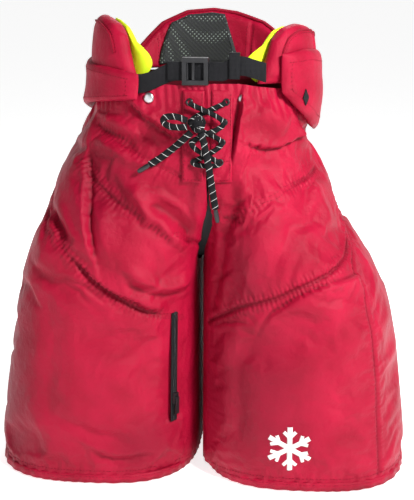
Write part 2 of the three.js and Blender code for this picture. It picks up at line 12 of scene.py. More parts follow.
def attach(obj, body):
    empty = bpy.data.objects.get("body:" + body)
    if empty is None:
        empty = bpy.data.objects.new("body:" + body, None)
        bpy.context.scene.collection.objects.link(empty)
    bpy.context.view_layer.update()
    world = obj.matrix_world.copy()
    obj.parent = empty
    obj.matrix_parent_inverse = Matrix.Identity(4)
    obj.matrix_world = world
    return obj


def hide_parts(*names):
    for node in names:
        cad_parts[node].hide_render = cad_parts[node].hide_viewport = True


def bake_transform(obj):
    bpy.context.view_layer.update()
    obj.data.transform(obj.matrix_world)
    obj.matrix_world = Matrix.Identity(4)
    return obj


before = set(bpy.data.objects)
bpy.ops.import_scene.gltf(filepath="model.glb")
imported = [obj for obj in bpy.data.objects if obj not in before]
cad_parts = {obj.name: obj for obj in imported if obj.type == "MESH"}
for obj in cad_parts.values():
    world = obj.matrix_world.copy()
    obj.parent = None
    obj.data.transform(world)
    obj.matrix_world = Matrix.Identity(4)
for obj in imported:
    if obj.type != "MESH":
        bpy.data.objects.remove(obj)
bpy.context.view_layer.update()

MM = 0.001
TAU = 2 * math.pi

# ---------------------------------------------------------------- outline of the garment, as in the CAD model
HIP_ROWS = [
    (256, 211, 118), (311, 184, 118), (356, 165, 118), (381, 153, 117),
    (405, 142, 114.5), (445, 132, 107), (490, 128, 99), (570, 128, 99),
]
LEG_ROWS = [
    (0, 258, 133), (154, 240, 132), (199, 231, 132), (247, 215, 133), (311, 184, 136), (356, 165, 139),
]
HIP_ROUNDNESS = 2.3
LEG_ROUNDNESS = 2.8
LEG_INSIDE_X = 7.0
WAIST_Z = 484.0
HEM_Z = 12.0
HIP_AXIS_Z = 385.0
HIP_JOINT_RADIUS = 126.5
FLY_X = 14.0
HALF_ROUND = 650
SIDES = (("left", -1), ("right", 1))
BOX_FACES = ((0, 1, 3, 2), (4, 6, 7, 5), (0, 4, 5, 1), (2, 3, 7, 6), (0, 2, 6, 4), (1, 5, 7, 3))


def smooth(edge0, edge1, value):
    t = np.clip((value - edge0) / (edge1 - edge0), 0, 1)
    return t * t * (3 - 2 * t)


def row_values(rows, z):
    heights = [r[0] for r in rows]
    return [np.interp(z, heights, [r[k] for r in rows]) for k in range(1, len(rows[0]))]


def rounded(centre, half_width, half_depth, power, turn):
    c, s = np.cos(turn * TAU), np.sin(turn * TAU)
    k = (np.abs(c) ** power + np.abs(s) ** power) ** (-1 / power)
    return centre + half_width * c * k, -half_depth * s * k


def hip_point(turn, z, inset=0.0):
    """Point of the hip outline in millimetres. Turn 0 is +X and a quarter turn is the front."""
    half_width, half_depth = row_values(HIP_ROWS, z)
    x, y = rounded(0, half_width - inset, half_depth - inset, HIP_ROUNDNESS, turn)
    return np.stack([x, y, z + 0 * x], -1)


def leg_point(turn, z, inset=0.0):
    outside, half_depth = row_values(LEG_ROWS, z)
    centre, half = (LEG_INSIDE_X + outside) / 2, (outside - LEG_INSIDE_X) / 2
    x, y = rounded(centre, half - inset, half_depth - inset, LEG_ROUNDNESS, turn)
    return np.stack([x, y, z + 0 * x], -1)


def front_point(x, z, proud=0.0):
    """Point on the front of the hips, or just before it, at a given x."""
    half_width, half_depth = row_values(HIP_ROWS, z)
    share = np.abs(x / (half_width + proud)) ** HIP_ROUNDNESS
    return np.stack([x, -(half_depth + proud) * (1 - share) ** (1 / HIP_ROUNDNESS), z], -1)


# ---------------------------------------------------------------- materials
def new_material(name):
    mat = bpy.data.materials.new(name)
    mat.use_nodes = True
    return mat, mat.node_tree.nodes, mat.node_tree.links, mat.node_tree.nodes["Principled BSDF"]


def add_node(nodes, kind, **values):
    node = nodes.new(kind)
    for key, value in values.items():
        if key in node.inputs:
            node.inputs[key].default_value = value
        else:
            setattr(node, key, value)
    return node


def colour_ramp(nodes, stops):
    ramp = nodes.new("ShaderNodeValToRGB")
    for k, (place, colour) in enumerate(stops):
        element = ramp.color_ramp.elements[k] if k < 2 else ramp.color_ramp.elements.new(place)
        element.position = place
        element.color = (*colour, 1)
    return ramp


def weave_bump(nodes, links, shader, coords, thread, strength, crumple=0.0):
    """Bump from two crossed thread patterns, over a finer crumple of the cloth."""
    scale = 0.314 / thread
    across = add_node(nodes, "ShaderNodeTexWave", wave_type="BANDS", bands_direction="X", Scale=scale)
    down = add_node(nodes, "ShaderNodeTexWave", wave_type="BANDS", bands_direction="Z", Scale=scale)
    for wave in (across, down):
        wave.inputs["Distortion"].default_value = 0.4
        links.new(coords.outputs["Object"], wave.inputs["Vector"])
    threads = add_node(nodes, "ShaderNodeMath", operation="MULTIPLY")
    links.new(across.outputs["Fac"], threads.inputs[0])
    links.new(down.outputs["Fac"], threads.inputs[1])
    fine = add_node(nodes, "ShaderNodeBump", Strength=strength, Distance=thread * 0.5)
    links.new(threads.outputs[0], fine.inputs["Height"])
    if crumple > 0:
        noise = add_node(nodes, "ShaderNodeTexNoise", Scale=90.0, Detail=5.0, Roughness=0.6)
        links.new(coords.outputs["Object"], noise.inputs["Vector"])
        rough = add_node(nodes, "ShaderNodeBump", Strength=crumple, Distance=0.004)
        links.new(noise.outputs["Fac"], rough.inputs["Height"])
        links.new(rough.outputs["Normal"], fine.inputs["Normal"])
    links.new(fine.outputs["Normal"], shader.inputs["Normal"])


def mix_colour(nodes, links, first, second, factor, amount):
    """Colour moved toward a second one where an attribute of the mesh says so."""
    attribute = add_node(nodes, "ShaderNodeAttribute", attribute_name=factor)
    scaled = add_node(nodes, "ShaderNodeMath", operation="MULTIPLY")
    scaled.inputs[1].default_value = amount
    links.new(attribute.outputs["Fac"], scaled.inputs[0])
    mixed = add_node(nodes, "ShaderNodeMix", data_type="RGBA")
    links.new(scaled.outputs[0], mixed.inputs[0])
    links.new(first, mixed.inputs[6])
    mixed.inputs[7].default_value = (*second, 1)
    return mixed.outputs[2]


def cloth_material(
    name, dark, light, roughness, thread=0.0007, bump=0.35, crumple=0.0, patch_scale=14.0, marks=(),
    specular=0.12,
):
    """Woven cloth whose colour drifts a little from place to place, and toward the colours of its marks."""
    mat, nodes, links, shader = new_material(name)
    coords = nodes.new("ShaderNodeTexCoord")
    noise = add_node(nodes, "ShaderNodeTexNoise", Scale=patch_scale, Detail=4.0)
    links.new(coords.outputs["Object"], noise.inputs["Vector"])
    ramp = colour_ramp(nodes, [(0.3, dark), (0.7, light)])
    links.new(noise.outputs["Fac"], ramp.inputs["Fac"])
    colour = ramp.outputs["Color"]
    for attribute, second, amount in marks:
        colour = mix_colour(nodes, links, colour, second, attribute, amount)
    links.new(colour, shader.inputs["Base Color"])
    shader.inputs["Roughness"].default_value = roughness
    shader.inputs["Specular IOR Level"].default_value = specular
    weave_bump(nodes, links, shader, coords, thread, bump, crumple)
    return mat


def hard_material(name, dark, light, roughness, metallic=0.0):
    """Moulded plastic or metal with fine scratches that vary its gloss."""
    mat, nodes, links, shader = new_material(name)
    coords = nodes.new("ShaderNodeTexCoord")
    noise = add_node(nodes, "ShaderNodeTexNoise", Scale=60.0, Detail=6.0)
    links.new(coords.outputs["Object"], noise.inputs["Vector"])
    ramp = colour_ramp(nodes, [(0.35, dark), (0.7, light)])
    links.new(noise.outputs["Fac"], ramp.inputs["Fac"])
    links.new(ramp.outputs["Color"], shader.inputs["Base Color"])
    gloss = add_node(nodes, "ShaderNodeMapRange")
    gloss.inputs["To Min"].default_value = roughness * 0.75
    gloss.inputs["To Max"].default_value = roughness * 1.3
    links.new(noise.outputs["Fac"], gloss.inputs["Value"])
    links.new(gloss.outputs["Result"], shader.inputs["Roughness"])
    shader.inputs["Metallic"].default_value = metallic
    bump = add_node(nodes, "ShaderNodeBump", Strength=0.08, Distance=0.0004)
    links.new(noise.outputs["Fac"], bump.inputs["Height"])
    links.new(bump.outputs["Normal"], shader.inputs["Normal"])
    return mat


def mesh_panel_material():
    """Black spacer mesh with rows of small pale dots."""
    mat, nodes, links, shader = new_material("black_mesh")
    coords = nodes.new("ShaderNodeTexCoord")
    cells = add_node(nodes, "ShaderNodeTexVoronoi", Scale=260.0, Randomness=0.0)
    turned = add_node(nodes, "ShaderNodeMapping")
    turned.inputs["Rotation"].default_value = (0, math.radians(45), 0)
    links.new(coords.outputs["Object"], turned.inputs["Vector"])
    links.new(turned.outputs["Vector"], cells.inputs["Vector"])
    ramp = colour_ramp(nodes, [(0.16, (0.16, 0.19, 0.17)), (0.30, (0.008, 0.009, 0.010))])
    links.new(cells.outputs["Distance"], ramp.inputs["Fac"])
    links.new(ramp.outputs["Color"], shader.inputs["Base Color"])
    shader.inputs["Roughness"].default_value = 0.75
    bump = add_node(nodes, "ShaderNodeBump", Strength=0.6, Distance=0.0012)
    links.new(cells.outputs["Distance"], bump.inputs["Height"])
    links.new(bump.outputs["Normal"], shader.inputs["Normal"])
    return mat


def lace_material():
    """Black braided lace with slanting white flecks along it."""
    mat, nodes, links, shader = new_material("lace")
    along = add_node(nodes, "ShaderNodeAttribute", attribute_name="along")
    around = add_node(nodes, "ShaderNodeAttribute", attribute_name="around")
    twist = add_node(nodes, "ShaderNodeMath", operation="MULTIPLY_ADD")
    twist.inputs[1].default_value = 1.0
    links.new(around.outputs["Fac"], twist.inputs[0])
    links.new(along.outputs["Fac"], twist.inputs[2])
    cycle = add_node(nodes, "ShaderNodeMath", operation="FRACT")
    links.new(twist.outputs[0], cycle.inputs[0])
    black, dark_grey, fleck = (0.007, 0.007, 0.008), (0.010, 0.010, 0.011), (0.5, 0.5, 0.49)
    ramp = colour_ramp(nodes, [(0.0, black), (0.5, dark_grey), (0.93, fleck)])
    ramp.color_ramp.interpolation = "CONSTANT"
    links.new(cycle.outputs[0], ramp.inputs["Fac"])
    links.new(ramp.outputs["Color"], shader.inputs["Base Color"])
    shader.inputs["Roughness"].default_value = 0.85
    shader.inputs["Specular IOR Level"].default_value = 0.12
    coords = nodes.new("ShaderNodeTexCoord")
    weave_bump(nodes, links, shader, coords, 0.0008, 0.6)
    return mat


RED_DARK = (0.25, 0.002, 0.018)
RED_LIGHT = (0.36, 0.0042, 0.030)
# Painted shade for the seam grooves and the hollows of the folds
RED_CREASE_SHADE = (0.13, 0.001, 0.009)
# Darker colour painted over a few patches of the cover
RED_DARKENED = (0.19, 0.0018, 0.016)
RED_WORN = (0.44, 0.035, 0.075)
# The cover's colour gets painted shade in its seam grooves and fold hollows
NYLON = cloth_material(
    "red_nylon", RED_DARK, RED_LIGHT, 0.45, crumple=0.5, specular=0.14, patch_scale=22.0,
    marks=(("darkened", RED_DARKENED, 0.7), ("crease", RED_CREASE_SHADE, 0.85), ("worn", RED_WORN, 0.8)),
)
PAD_NYLON = cloth_material("red_pad_nylon", RED_DARK, RED_LIGHT, 0.5, crumple=0.4, patch_scale=30.0)
THREAD = cloth_material("red_thread", (0.15, 0.0015, 0.011), (0.2, 0.0025, 0.015), 0.6, thread=0.0004)
LINING = cloth_material("lining", (0.07, 0.002, 0.007), (0.10, 0.003, 0.010), 0.85, bump=0.5)
WAIST_LINING = cloth_material("waist_lining", (0.012, 0.012, 0.013), (0.03, 0.03, 0.032), 0.9, bump=0.6)
NEON = cloth_material("neon_lining", (0.62, 0.86, 0.015), (0.76, 1.0, 0.03), 0.7, bump=0.5)
WEBBING = cloth_material(
    "black_webbing", (0.006, 0.006, 0.007), (0.014, 0.014, 0.016), 0.6, thread=0.0014, bump=0.9,
)
BINDING = cloth_material(
    "red_binding", (0.22, 0.002, 0.016), (0.28, 0.004, 0.022), 0.6, thread=0.001, bump=0.8,
)
MESH = mesh_panel_material()
PLASTIC = hard_material("black_plastic", (0.006, 0.006, 0.007), (0.014, 0.014, 0.016), 0.32)
SILVER = hard_material("silver", (0.38, 0.39, 0.40), (0.60, 0.61, 0.62), 0.3, metallic=1.0)
WHITE = cloth_material("white_thread", (0.72, 0.72, 0.70), (0.88, 0.88, 0.86), 0.55, thread=0.0009, bump=0.9)
LACE = lace_material()


# ---------------------------------------------------------------- mesh helpers
def mesh_object(name, points, faces, material):
    """Smooth-shaded piece. Its points are in millimetres."""
    mesh = bpy.data.meshes.new(name)
    mesh.from_pydata((np.asarray(points, float).reshape(-1, 3) * MM).tolist(), [], faces)
    mesh.update()
    obj = bpy.data.objects.new(name, mesh)
    bpy.context.scene.collection.objects.link(obj)
    mesh.materials.append(material)
    mesh.polygons.foreach_set("use_smooth", [True] * len(mesh.polygons))
    return obj


def grid_faces(rows, columns, wrap=False, start=0, flip=False):
    faces = []
    last = columns if wrap else columns - 1
    for j in range(rows - 1):
        for i in range(last):
            a, b = j * columns + i, j * columns + (i + 1) % columns
            quad = (start + a, start + b, start + b + columns, start + a + columns)
            faces.append(quad[::-1] if flip else quad)
    return faces


def tube_faces(rings, sides, start=0):
    """Faces of a tube, with a cap at each end."""
    first_cap = tuple(start + i for i in range(sides))[::-1]
    last_cap = tuple(start + (rings - 1) * sides + i for i in range(sides))
    return grid_faces(rings, sides, wrap=True, start=start) + [first_cap, last_cap]


def closed_shell(name, front, back, material):
    """Piece between two grids of points, joined round their edges."""
    rows, columns = front.shape[:2]
    half = rows * columns
    faces = grid_faces(rows, columns) + grid_faces(rows, columns, start=half, flip=True)
    border = list(range(columns)) + [j * columns + columns - 1 for j in range(1, rows)]
    border += [(rows - 1) * columns + i for i in range(columns - 2, -1, -1)]
    border += [j * columns for j in range(rows - 2, 0, -1)]
    for a, b in zip(border, border[1:] + border[:1]):
        faces.append((b, a, a + half, b + half))
    obj = mesh_object(name, np.concatenate([front.reshape(-1, 3), back.reshape(-1, 3)]), faces, material)
    fix_normals(obj)
    return obj


def fix_normals(obj):
    work = bmesh.new()
    work.from_mesh(obj.data)
    bmesh.ops.recalc_face_normals(work, faces=work.faces)
    work.to_mesh(obj.data)
    work.free()


def ride_all(body, slot, *objs):
    for obj in objs:
        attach(obj, body)


def store(obj, name, values):
    """Keeps a value for each point, for the materials."""
    attribute = obj.data.attributes.new(name, "FLOAT", "POINT")
    attribute.data.foreach_set("value", values.astype(np.float32))


def unit(vectors):
    return vectors / np.linalg.norm(vectors, axis=-1, keepdims=True)


def vertex_array(obj):
    co = np.empty(3 * len(obj.data.vertices))
    obj.data.vertices.foreach_get("co", co)
    return co.reshape(-1, 3) / MM


def set_vertices(obj, points):
    obj.data.vertices.foreach_set("co", (points * MM).ravel())
    obj.data.update()


def normal_array(obj):
    normals = np.empty(3 * len(obj.data.vertices))
    obj.data.vertices.foreach_get("normal", normals)
    return normals.reshape(-1, 3)


def bake_modifiers(obj):
    depsgraph = bpy.context.evaluated_depsgraph_get()
    done = bpy.data.meshes.new_from_object(obj.evaluated_get(depsgraph), depsgraph=depsgraph)
    old = obj.data
    obj.modifiers.clear()
    obj.data = done
    bpy.data.meshes.remove(old)


def apply_modifier(obj, kind, **settings):
    modifier = obj.modifiers.new(kind, kind)
    for key, value in settings.items():
        setattr(modifier, key, value)
    bake_modifiers(obj)


def subdivide(obj):
    apply_modifier(obj, "SUBSURF", levels=1, render_levels=1)


def merge_close(obj, distance):
    apply_modifier(obj, "WELD", merge_threshold=distance * MM)


CLOTH = {
    "quality": 6, "mass": 0.2, "vertex_group_mass": "pins", "tension_stiffness": 12,
    "compression_stiffness": 8, "shear_stiffness": 6, "bending_stiffness": 0.6, "use_pressure": True,
}
CLOTH_FRAMES = 16
LARGEST_SLIDE = 3.0


def cloth_relax(obj, pinned, pressure, grow, cap_out, cap_in):
    """Blows the cloth up a little, held at its pinned points, and keeps every point near where it started."""
    group = obj.vertex_groups.new(name="pins")
    for index in np.nonzero(pinned > 0.01)[0]:
        group.add([int(index)], float(min(1, pinned[index])), "REPLACE")
    before, normals = vertex_array(obj), normal_array(obj)
    modifier = obj.modifiers.new("cloth", "CLOTH")
    for key, value in CLOTH.items():
        setattr(modifier.settings, key, value)
    modifier.settings.uniform_pressure_force = pressure
    modifier.settings.shrink_min = -grow
    modifier.settings.effector_weights.gravity = 0
    modifier.collision_settings.use_collision = False
    modifier.point_cache.frame_start = 1
    modifier.point_cache.frame_end = CLOTH_FRAMES
    scene = bpy.context.scene
    for frame_number in range(1, CLOTH_FRAMES + 1):
        scene.frame_set(frame_number)
    bake_modifiers(obj)
    scene.frame_set(1)
    move = vertex_array(obj) - before
    away = np.einsum("ij,ij->i", move, normals)
    along = move - away[:, None] * normals
    reach = np.linalg.norm(along, axis=1)[:, None] + 1e-9
    along *= np.minimum(1, LARGEST_SLIDE / reach)
    limited = np.where(away > 0, cap_out * np.tanh(away / cap_out), cap_in * np.tanh(away / cap_in))
    set_vertices(obj, before + along + limited[:, None] * normals)


FLECK_PITCH = 9.0


def lengths_along(points):
    """Length from the start of a line to each of its points."""
    return np.concatenate([[0], np.cumsum(np.linalg.norm(np.diff(points, axis=0), axis=1))])


def resample(points, step):
    """The same line, as points about one step apart."""
    points = np.asarray(points, float)
    lengths = lengths_along(points)
    count = max(2, int(lengths[-1] / step) + 1)
    wanted = np.linspace(0, lengths[-1], count)
    return np.stack([np.interp(wanted, lengths, points[:, k]) for k in range(points.shape[1])], -1)


def spline(points, step=2.0):
    """Smooth curve through given points, as points one step apart."""
    points = np.asarray(points, float)
    padded = np.vstack([2 * points[0] - points[1], points, 2 * points[-1] - points[-2]])
    dense = []
    for k in range(len(points) - 1):
        a, b, c, d = padded[k:k + 4]
        t = np.linspace(0, 1, 24, endpoint=False)[:, None]
        square, cube = 2 * a - 5 * b + 4 * c - d, 3 * b - a - 3 * c + d
        dense.append(0.5 * (2 * b + (c - a) * t + square * t ** 2 + cube * t ** 3))
    dense.append(points[-1:])
    return resample(np.vstack(dense), step)


def swept(name, path, width, height, material, sides=10, taper=0.0):
    """Tube of oval section along a path, with its length and turn stored on its points for the pattern."""
    path = np.asarray(path, float)
    count = len(path)
    tangent = unit(np.gradient(path, axis=0))
    forward = np.array([0.0, -1.0, 0.0])
    normal = unit(forward - tangent * (tangent @ forward)[:, None])
    side = np.cross(tangent, normal)
    angle = np.arange(sides) / sides * TAU
    ends = np.minimum(np.arange(count), np.arange(count)[::-1])
    scale = np.where(ends < 2, 1 - taper * (2 - ends) / 2, 1.0)[:, None, None]
    sideways = np.cos(angle)[None, :, None] * side[:, None] * width
    outward = np.sin(angle)[None, :, None] * normal[:, None] * height
    ring = (sideways + outward) / 2
    obj = mesh_object(name, path[:, None] + ring * scale, tube_faces(count, sides), material)
    store(obj, "along", np.repeat(lengths_along(path) / FLECK_PITCH, sides))
    store(obj, "around", np.tile(angle / TAU, count))
    return obj


def bvh_of(*objs):
    points, faces = [], []
    for obj in objs:
        start = len(points)
        points += [v.co.copy() for v in obj.data.vertices]
        faces += [[start + i for i in p.vertices] for p in obj.data.polygons]
    return BVHTree.FromPolygons(points, faces)


def on_surface(tree, line, lift):
    """The line laid on a surface, lifted off it, with the normal at each point."""
    spots, normals = [], []
    for point in line:
        hit, normal, _, _ = tree.find_nearest(Vector(point * MM))
        spots.append(np.array(hit) / MM + np.array(normal) * lift)
        normals.append(np.array(normal))
    return np.array(spots), np.array(normals)


STITCH_SIDES = 5
# Sections of one stitch: how far along it, and how thick
STITCH_ENDS = ((0.0, 0.35), (0.3, 1.0), (0.7, 1.0), (1.0, 0.35))


def stitches(name, tree, lines, material, length=2.6, gap=1.5, width=0.8, lift=0.15):
    """Rows of thread lying on a surface, one small rounded stitch after another, as one mesh."""
    points, faces = [], []
    for line in lines:
        spots, normals = on_surface(tree, resample(line, length + gap), lift)
        for k in range(len(spots) - 1):
            ahead = spots[k + 1] - spots[k]
            reach = np.linalg.norm(ahead)
            if reach < 1e-6:
                continue
            ahead /= reach
            beside = np.cross(ahead, normals[k])
            faces += tube_faces(len(STITCH_ENDS), STITCH_SIDES, start=len(points))
            for share, size in STITCH_ENDS:
                middle = spots[k] + ahead * length * share
                for turn in range(STITCH_SIDES):
                    a = turn / STITCH_SIDES * TAU
                    turned = beside * math.cos(a) + normals[k] * math.sin(a)
                    points.append(middle + turned * width / 2 * size)
    return mesh_object(name, points, faces, material)


# ---------------------------------------------------------------- camera, light and floor
def look_at(obj, target):
    obj.rotation_euler = (Vector(target) - obj.location).to_track_quat("-Z", "Y").to_euler()


AZIMUTH, ELEVATION, DISTANCE = math.radians(5), math.radians(15), 1.5
TARGET = Vector((0.0038, 0.0, 0.266))
camera_data = bpy.data.cameras.new("camera")
camera_data.lens = 85.0
camera_data.sensor_width = 36.0
camera = bpy.data.objects.new("camera", camera_data)
bpy.context.scene.collection.objects.link(camera)
flat = math.cos(ELEVATION) * DISTANCE
camera.location = TARGET + Vector(
    (math.sin(AZIMUTH) * flat, -math.cos(AZIMUTH) * flat, math.sin(ELEVATION) * DISTANCE)
)
look_at(camera, TARGET)
bpy.context.scene.camera = camera
bpy.context.scene.view_settings.view_transform = "Standard"


def area_light(name, place, size, power):
    data = bpy.data.lights.new(name, "AREA")
    data.size = size
    data.energy = power
    light = bpy.data.objects.new(name, data)
    bpy.context.scene.collection.objects.link(light)
    light.location = place
    look_at(light, (0, 0, 0.28))


area_light("key", (0.95, -0.95, 1.3), 0.3, 46)
area_light("fill", (-1.3, -0.9, 0.6), 1.2, 3)
area_light("rim", (0.1, 1.2, 1.5), 0.9, 12)
world = bpy.data.worlds.new("world")
bpy.context.scene.world = world
world.use_nodes = True
world.node_tree.nodes["Background"].inputs["Color"].default_value = (1, 1, 1, 1)
# White along the horizon, dimmer overhead
sky_nodes, sky_links = world.node_tree.nodes, world.node_tree.links
sky_coords = sky_nodes.new("ShaderNodeTexCoord")
sky_axes = sky_nodes.new("ShaderNodeSeparateXYZ")
sky_links.new(sky_coords.outputs["Generated"], sky_axes.inputs["Vector"])
sky_level = sky_nodes.new("ShaderNodeMapRange")
for name, value in (("From Min", 0.12), ("From Max", 0.4), ("To Min", 0.97), ("To Max", 0.12)):
    sky_level.inputs[name].default_value = value
sky_links.new(sky_axes.outputs["Z"], sky_level.inputs["Value"])
sky_links.new(sky_level.outputs["Result"], sky_nodes["Background"].inputs["Strength"])

FLOOR_HALF = 60000.0
floor_cloth = cloth_material("floor", (0.86, 0.86, 0.86), (0.89, 0.89, 0.89), 0.9, bump=0.0, specular=0.0)
floor_corners = [(x * FLOOR_HALF, y * FLOOR_HALF, 0) for x, y in ((-1, -1), (1, -1), (1, 1), (-1, 1))]
floor = mesh_object("floor", floor_corners, [(0, 1, 2, 3)], floor_cloth)
floor_shader = floor.data.materials[0].node_tree.nodes["Principled BSDF"]
floor_shader.inputs["Emission Color"].default_value = (1, 1, 1, 1)
floor_shader.inputs["Emission Strength"].default_value = 0.78

# ---------------------------------------------------------------- lace tails and their tips
KNOT_Y = -127.2
TAIL_WIDTH, TAIL_HEIGHT, LACE_DIAMETER = 8.0, 2.8, 5.0
TAILS = {
    "left": [(-3, KNOT_Y, 437.3), (-12, KNOT_Y, 429), (-24, -122, 418), (-38, -120, 407), (-52, -119.6, 398)],
    "centre": [
        (8, KNOT_Y, 437.3), (12, KNOT_Y - 3.4, 424), (17, KNOT_Y - 6, 402), (21, KNOT_Y - 6.4, 376),
        (25, KNOT_Y - 5, 350),
    ],
}
for word, route in TAILS.items():
    path = spline(route, 2.0)
    tail = swept(f"lace_end_{word}", path, TAIL_WIDTH, TAIL_HEIGHT, LACE)
    ahead = unit(path[-1] - path[-2])
    tip_path = np.array([path[-1] + ahead * (0.2 + t) for t in (0, 0.8, 4, 8, 12, 15, 16)])
    tip = swept(f"lace_tip_cover_{word}", tip_path, 5.6, 3.0, PLASTIC, taper=0.35)
    real_length = float(lengths_along(path)[-1]) * MM
    for piece in (tail, tip):
        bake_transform(piece)
    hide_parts(f"lace_tail_{word}")
    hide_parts(f"lace_tip_{word}")


# ---------------------------------------------------------------- cover: one cloth from waist to hem
LEG_FRONT_TURN, HIP_FRONT_TURN = 0.43, 0.25
OUTER_COLUMNS, OUTER_ROWS, INNER_COLUMNS = 196, 134, 30
GAP_Z = [0, 150, 243, 300, 334, 378, 392]
GAP_X = [-6, -3, 3, 11, 15, 14, 14]
WAIST_X = [-110, -57, -24, 7, 36, 76, 96, 120]
WAIST_RISE = [-5, 4, 2, 5, 5, 0, -3, -5]


def lean(points):
    """The garment slumps a little toward its right side between the hips and the waist."""
    height = smooth(190, 330, points[..., 2]) * (1 - smooth(400, 480, points[..., 2]))
    sideways = smooth(40, 130, np.abs(points[..., 0]))
    points[..., 0] -= 13 * height * sideways
    return points


def close_gap(point, side):
    """The cloth of both legs bulges until they almost touch, along a line that wanders at the front."""
    reach = np.abs(point[..., 0])
    width = 19 + 18 * smooth(20, 80, point[..., 1])
    reach = 1.2 + (reach - 1.2) * (1 - 0.9 * np.exp(-((reach - 1.2) / width) ** 2))
    low = 1 - smooth(384, 400, point[..., 2])
    point[..., 0] = side * (np.abs(point[..., 0]) * (1 - low) + reach * low)
    waist = np.interp(point[..., 0], WAIST_X, WAIST_RISE) * smooth(430, 484, point[..., 2])
    point[..., 2] += waist * smooth(0, -60, point[..., 1])
    wander = np.interp(point[..., 2], GAP_Z, GAP_X)
    front = smooth(-40, -105, point[..., 1]) * (1 - smooth(30, 85, np.abs(point[..., 0])))
    point[..., 0] += wander * front
    return lean(point)


def outer_point(side, s, z, inset=0.0):
    """Outer cloth of one half. s runs from the front inner edge, round the outside, to the back one."""
    leg = leg_point(LEG_FRONT_TURN * (1 - 2 * s), z, inset)
    hip = hip_point(HIP_FRONT_TURN * (1 - 2 * s), z, inset)
    upper = smooth(262, 395, z)[..., None]
    return close_gap(leg * (1 - upper) + hip * upper, side)


def inner_point(side, s, z, inset=0.0):
    """Inner leg cloth. s runs from the front edge to the back edge of the same leg."""
    turn = LEG_FRONT_TURN + (1 - 2 * LEG_FRONT_TURN) * s
    return close_gap(leg_point(turn, z, inset), side)


def crotch_height(y):
    """Top of the inner leg cloth, on the circle where the legs meet the hips."""
    return HIP_AXIS_Z - np.sqrt(np.maximum(HIP_JOINT_RADIUS ** 2 - y ** 2, 0))


def lining_inset(z):
    """The lining lies behind the padding, and meets the cover at the hem and the waist."""
    return 13 - 7.5 * np.exp(-np.maximum(z - 4, 0) / 3) - 12.2 * smooth(474, 484, z)


def cover_half(name, side, material, is_lining=False, columns=OUTER_COLUMNS, rows=OUTER_ROWS):
    z_levels = np.linspace(4.0 if is_lining else HEM_Z, WAIST_Z, rows)
    if is_lining:
        waist_levels = [475, 477, 479, 481, 482.5, 484]
        z_levels = np.concatenate([[4.0, 6.0, 9.0], np.linspace(14, 472, rows - 9), waist_levels])
    grid_s, grid_z = np.meshgrid(np.linspace(0, 1, columns), z_levels)
    inset = lining_inset(grid_z) if is_lining else 0.0
    points = [outer_point(side, grid_s, grid_z, inset).reshape(-1, 3)]
    faces = grid_faces(rows, columns, flip=(side > 0) == is_lining)
    low = z_levels[0]
    inner_levels = z_levels[z_levels < 276]
    inner_rows = len(inner_levels)
    share = (inner_levels - low) / (inner_levels[-1] - low)
    grid_s, grid_t = np.meshgrid(np.linspace(0, 1, INNER_COLUMNS), share)
    middle = inner_point(side, grid_s, np.full_like(grid_s, 200.0))
    top = crotch_height(middle[..., 1])
    top += inner_levels[-1] - top[:, :1]
    grid_z = low + (top - low) * grid_t
    grid_z[:, -1] = inner_levels
    inset = lining_inset(grid_z) if is_lining else 0.0
    inner = inner_point(side, grid_s, grid_z, inset)
    for column, s in ((0, 0.0), (-1, 1.0)):
        edge_inset = inset[:, column] if is_lining else 0.0
        heights = grid_z[:, column]
        inner[:, column] = outer_point(side, np.full_like(heights, s), heights, edge_inset)
    points.append(inner.reshape(-1, 3))
    faces += grid_faces(inner_rows, INNER_COLUMNS, start=rows * columns, flip=(side < 0) == is_lining)
    return mesh_object(name, np.vstack(points), faces, material)


def s_at(side, x, z):
    """Place along the front of the cloth where it crosses a given x."""
    s = np.linspace(0, 0.5, 400)
    row = outer_point(side, s, np.full_like(s, z))
    return s[np.argmin(np.abs(row[:, 0] - x))]


def surface_line(side, places, step=4.0):
    """A smooth line on the cloth through places: (x, z) on the front, or ("s", s, z) anywhere."""
    spots = np.array([(p[1], p[2], 0) if p[0] == "s" else (s_at(side, *p), p[1], 0) for p in places], float)
    spots[:, 0] *= HALF_ROUND
    curve = spline(spots, step)
    return outer_point(side, curve[:, 0] / HALF_ROUND, curve[:, 1])


def line_field(points, normals, line, reach):
    """Distance to a line, which side of it, and how far along it, for the points near it."""
    low, high = line.min(0) - reach, line.max(0) + reach
    near = np.nonzero(np.all((points > low) & (points < high), axis=1))[0]
    p, n = points[near], normals[near]
    best = np.full(len(near), 1e9)
    place, sign = np.zeros(len(near)), np.ones(len(near))
    lengths = lengths_along(line)
    for k in range(len(line) - 1):
        ab = line[k + 1] - line[k]
        t = np.clip((p - line[k]) @ ab / (ab @ ab + 1e-12), 0, 1)
        away = p - (line[k] + t[:, None] * ab)
        d = np.linalg.norm(away, axis=1)
        closer = d < best
        best[closer] = d[closer]
        place[closer] = lengths[k] + t[closer] * (lengths[k + 1] - lengths[k])
        sign[closer] = np.sign(np.einsum("ij,ij->i", np.cross(ab, n[closer]), away[closer]))
    return near, best, sign, place, lengths[-1]


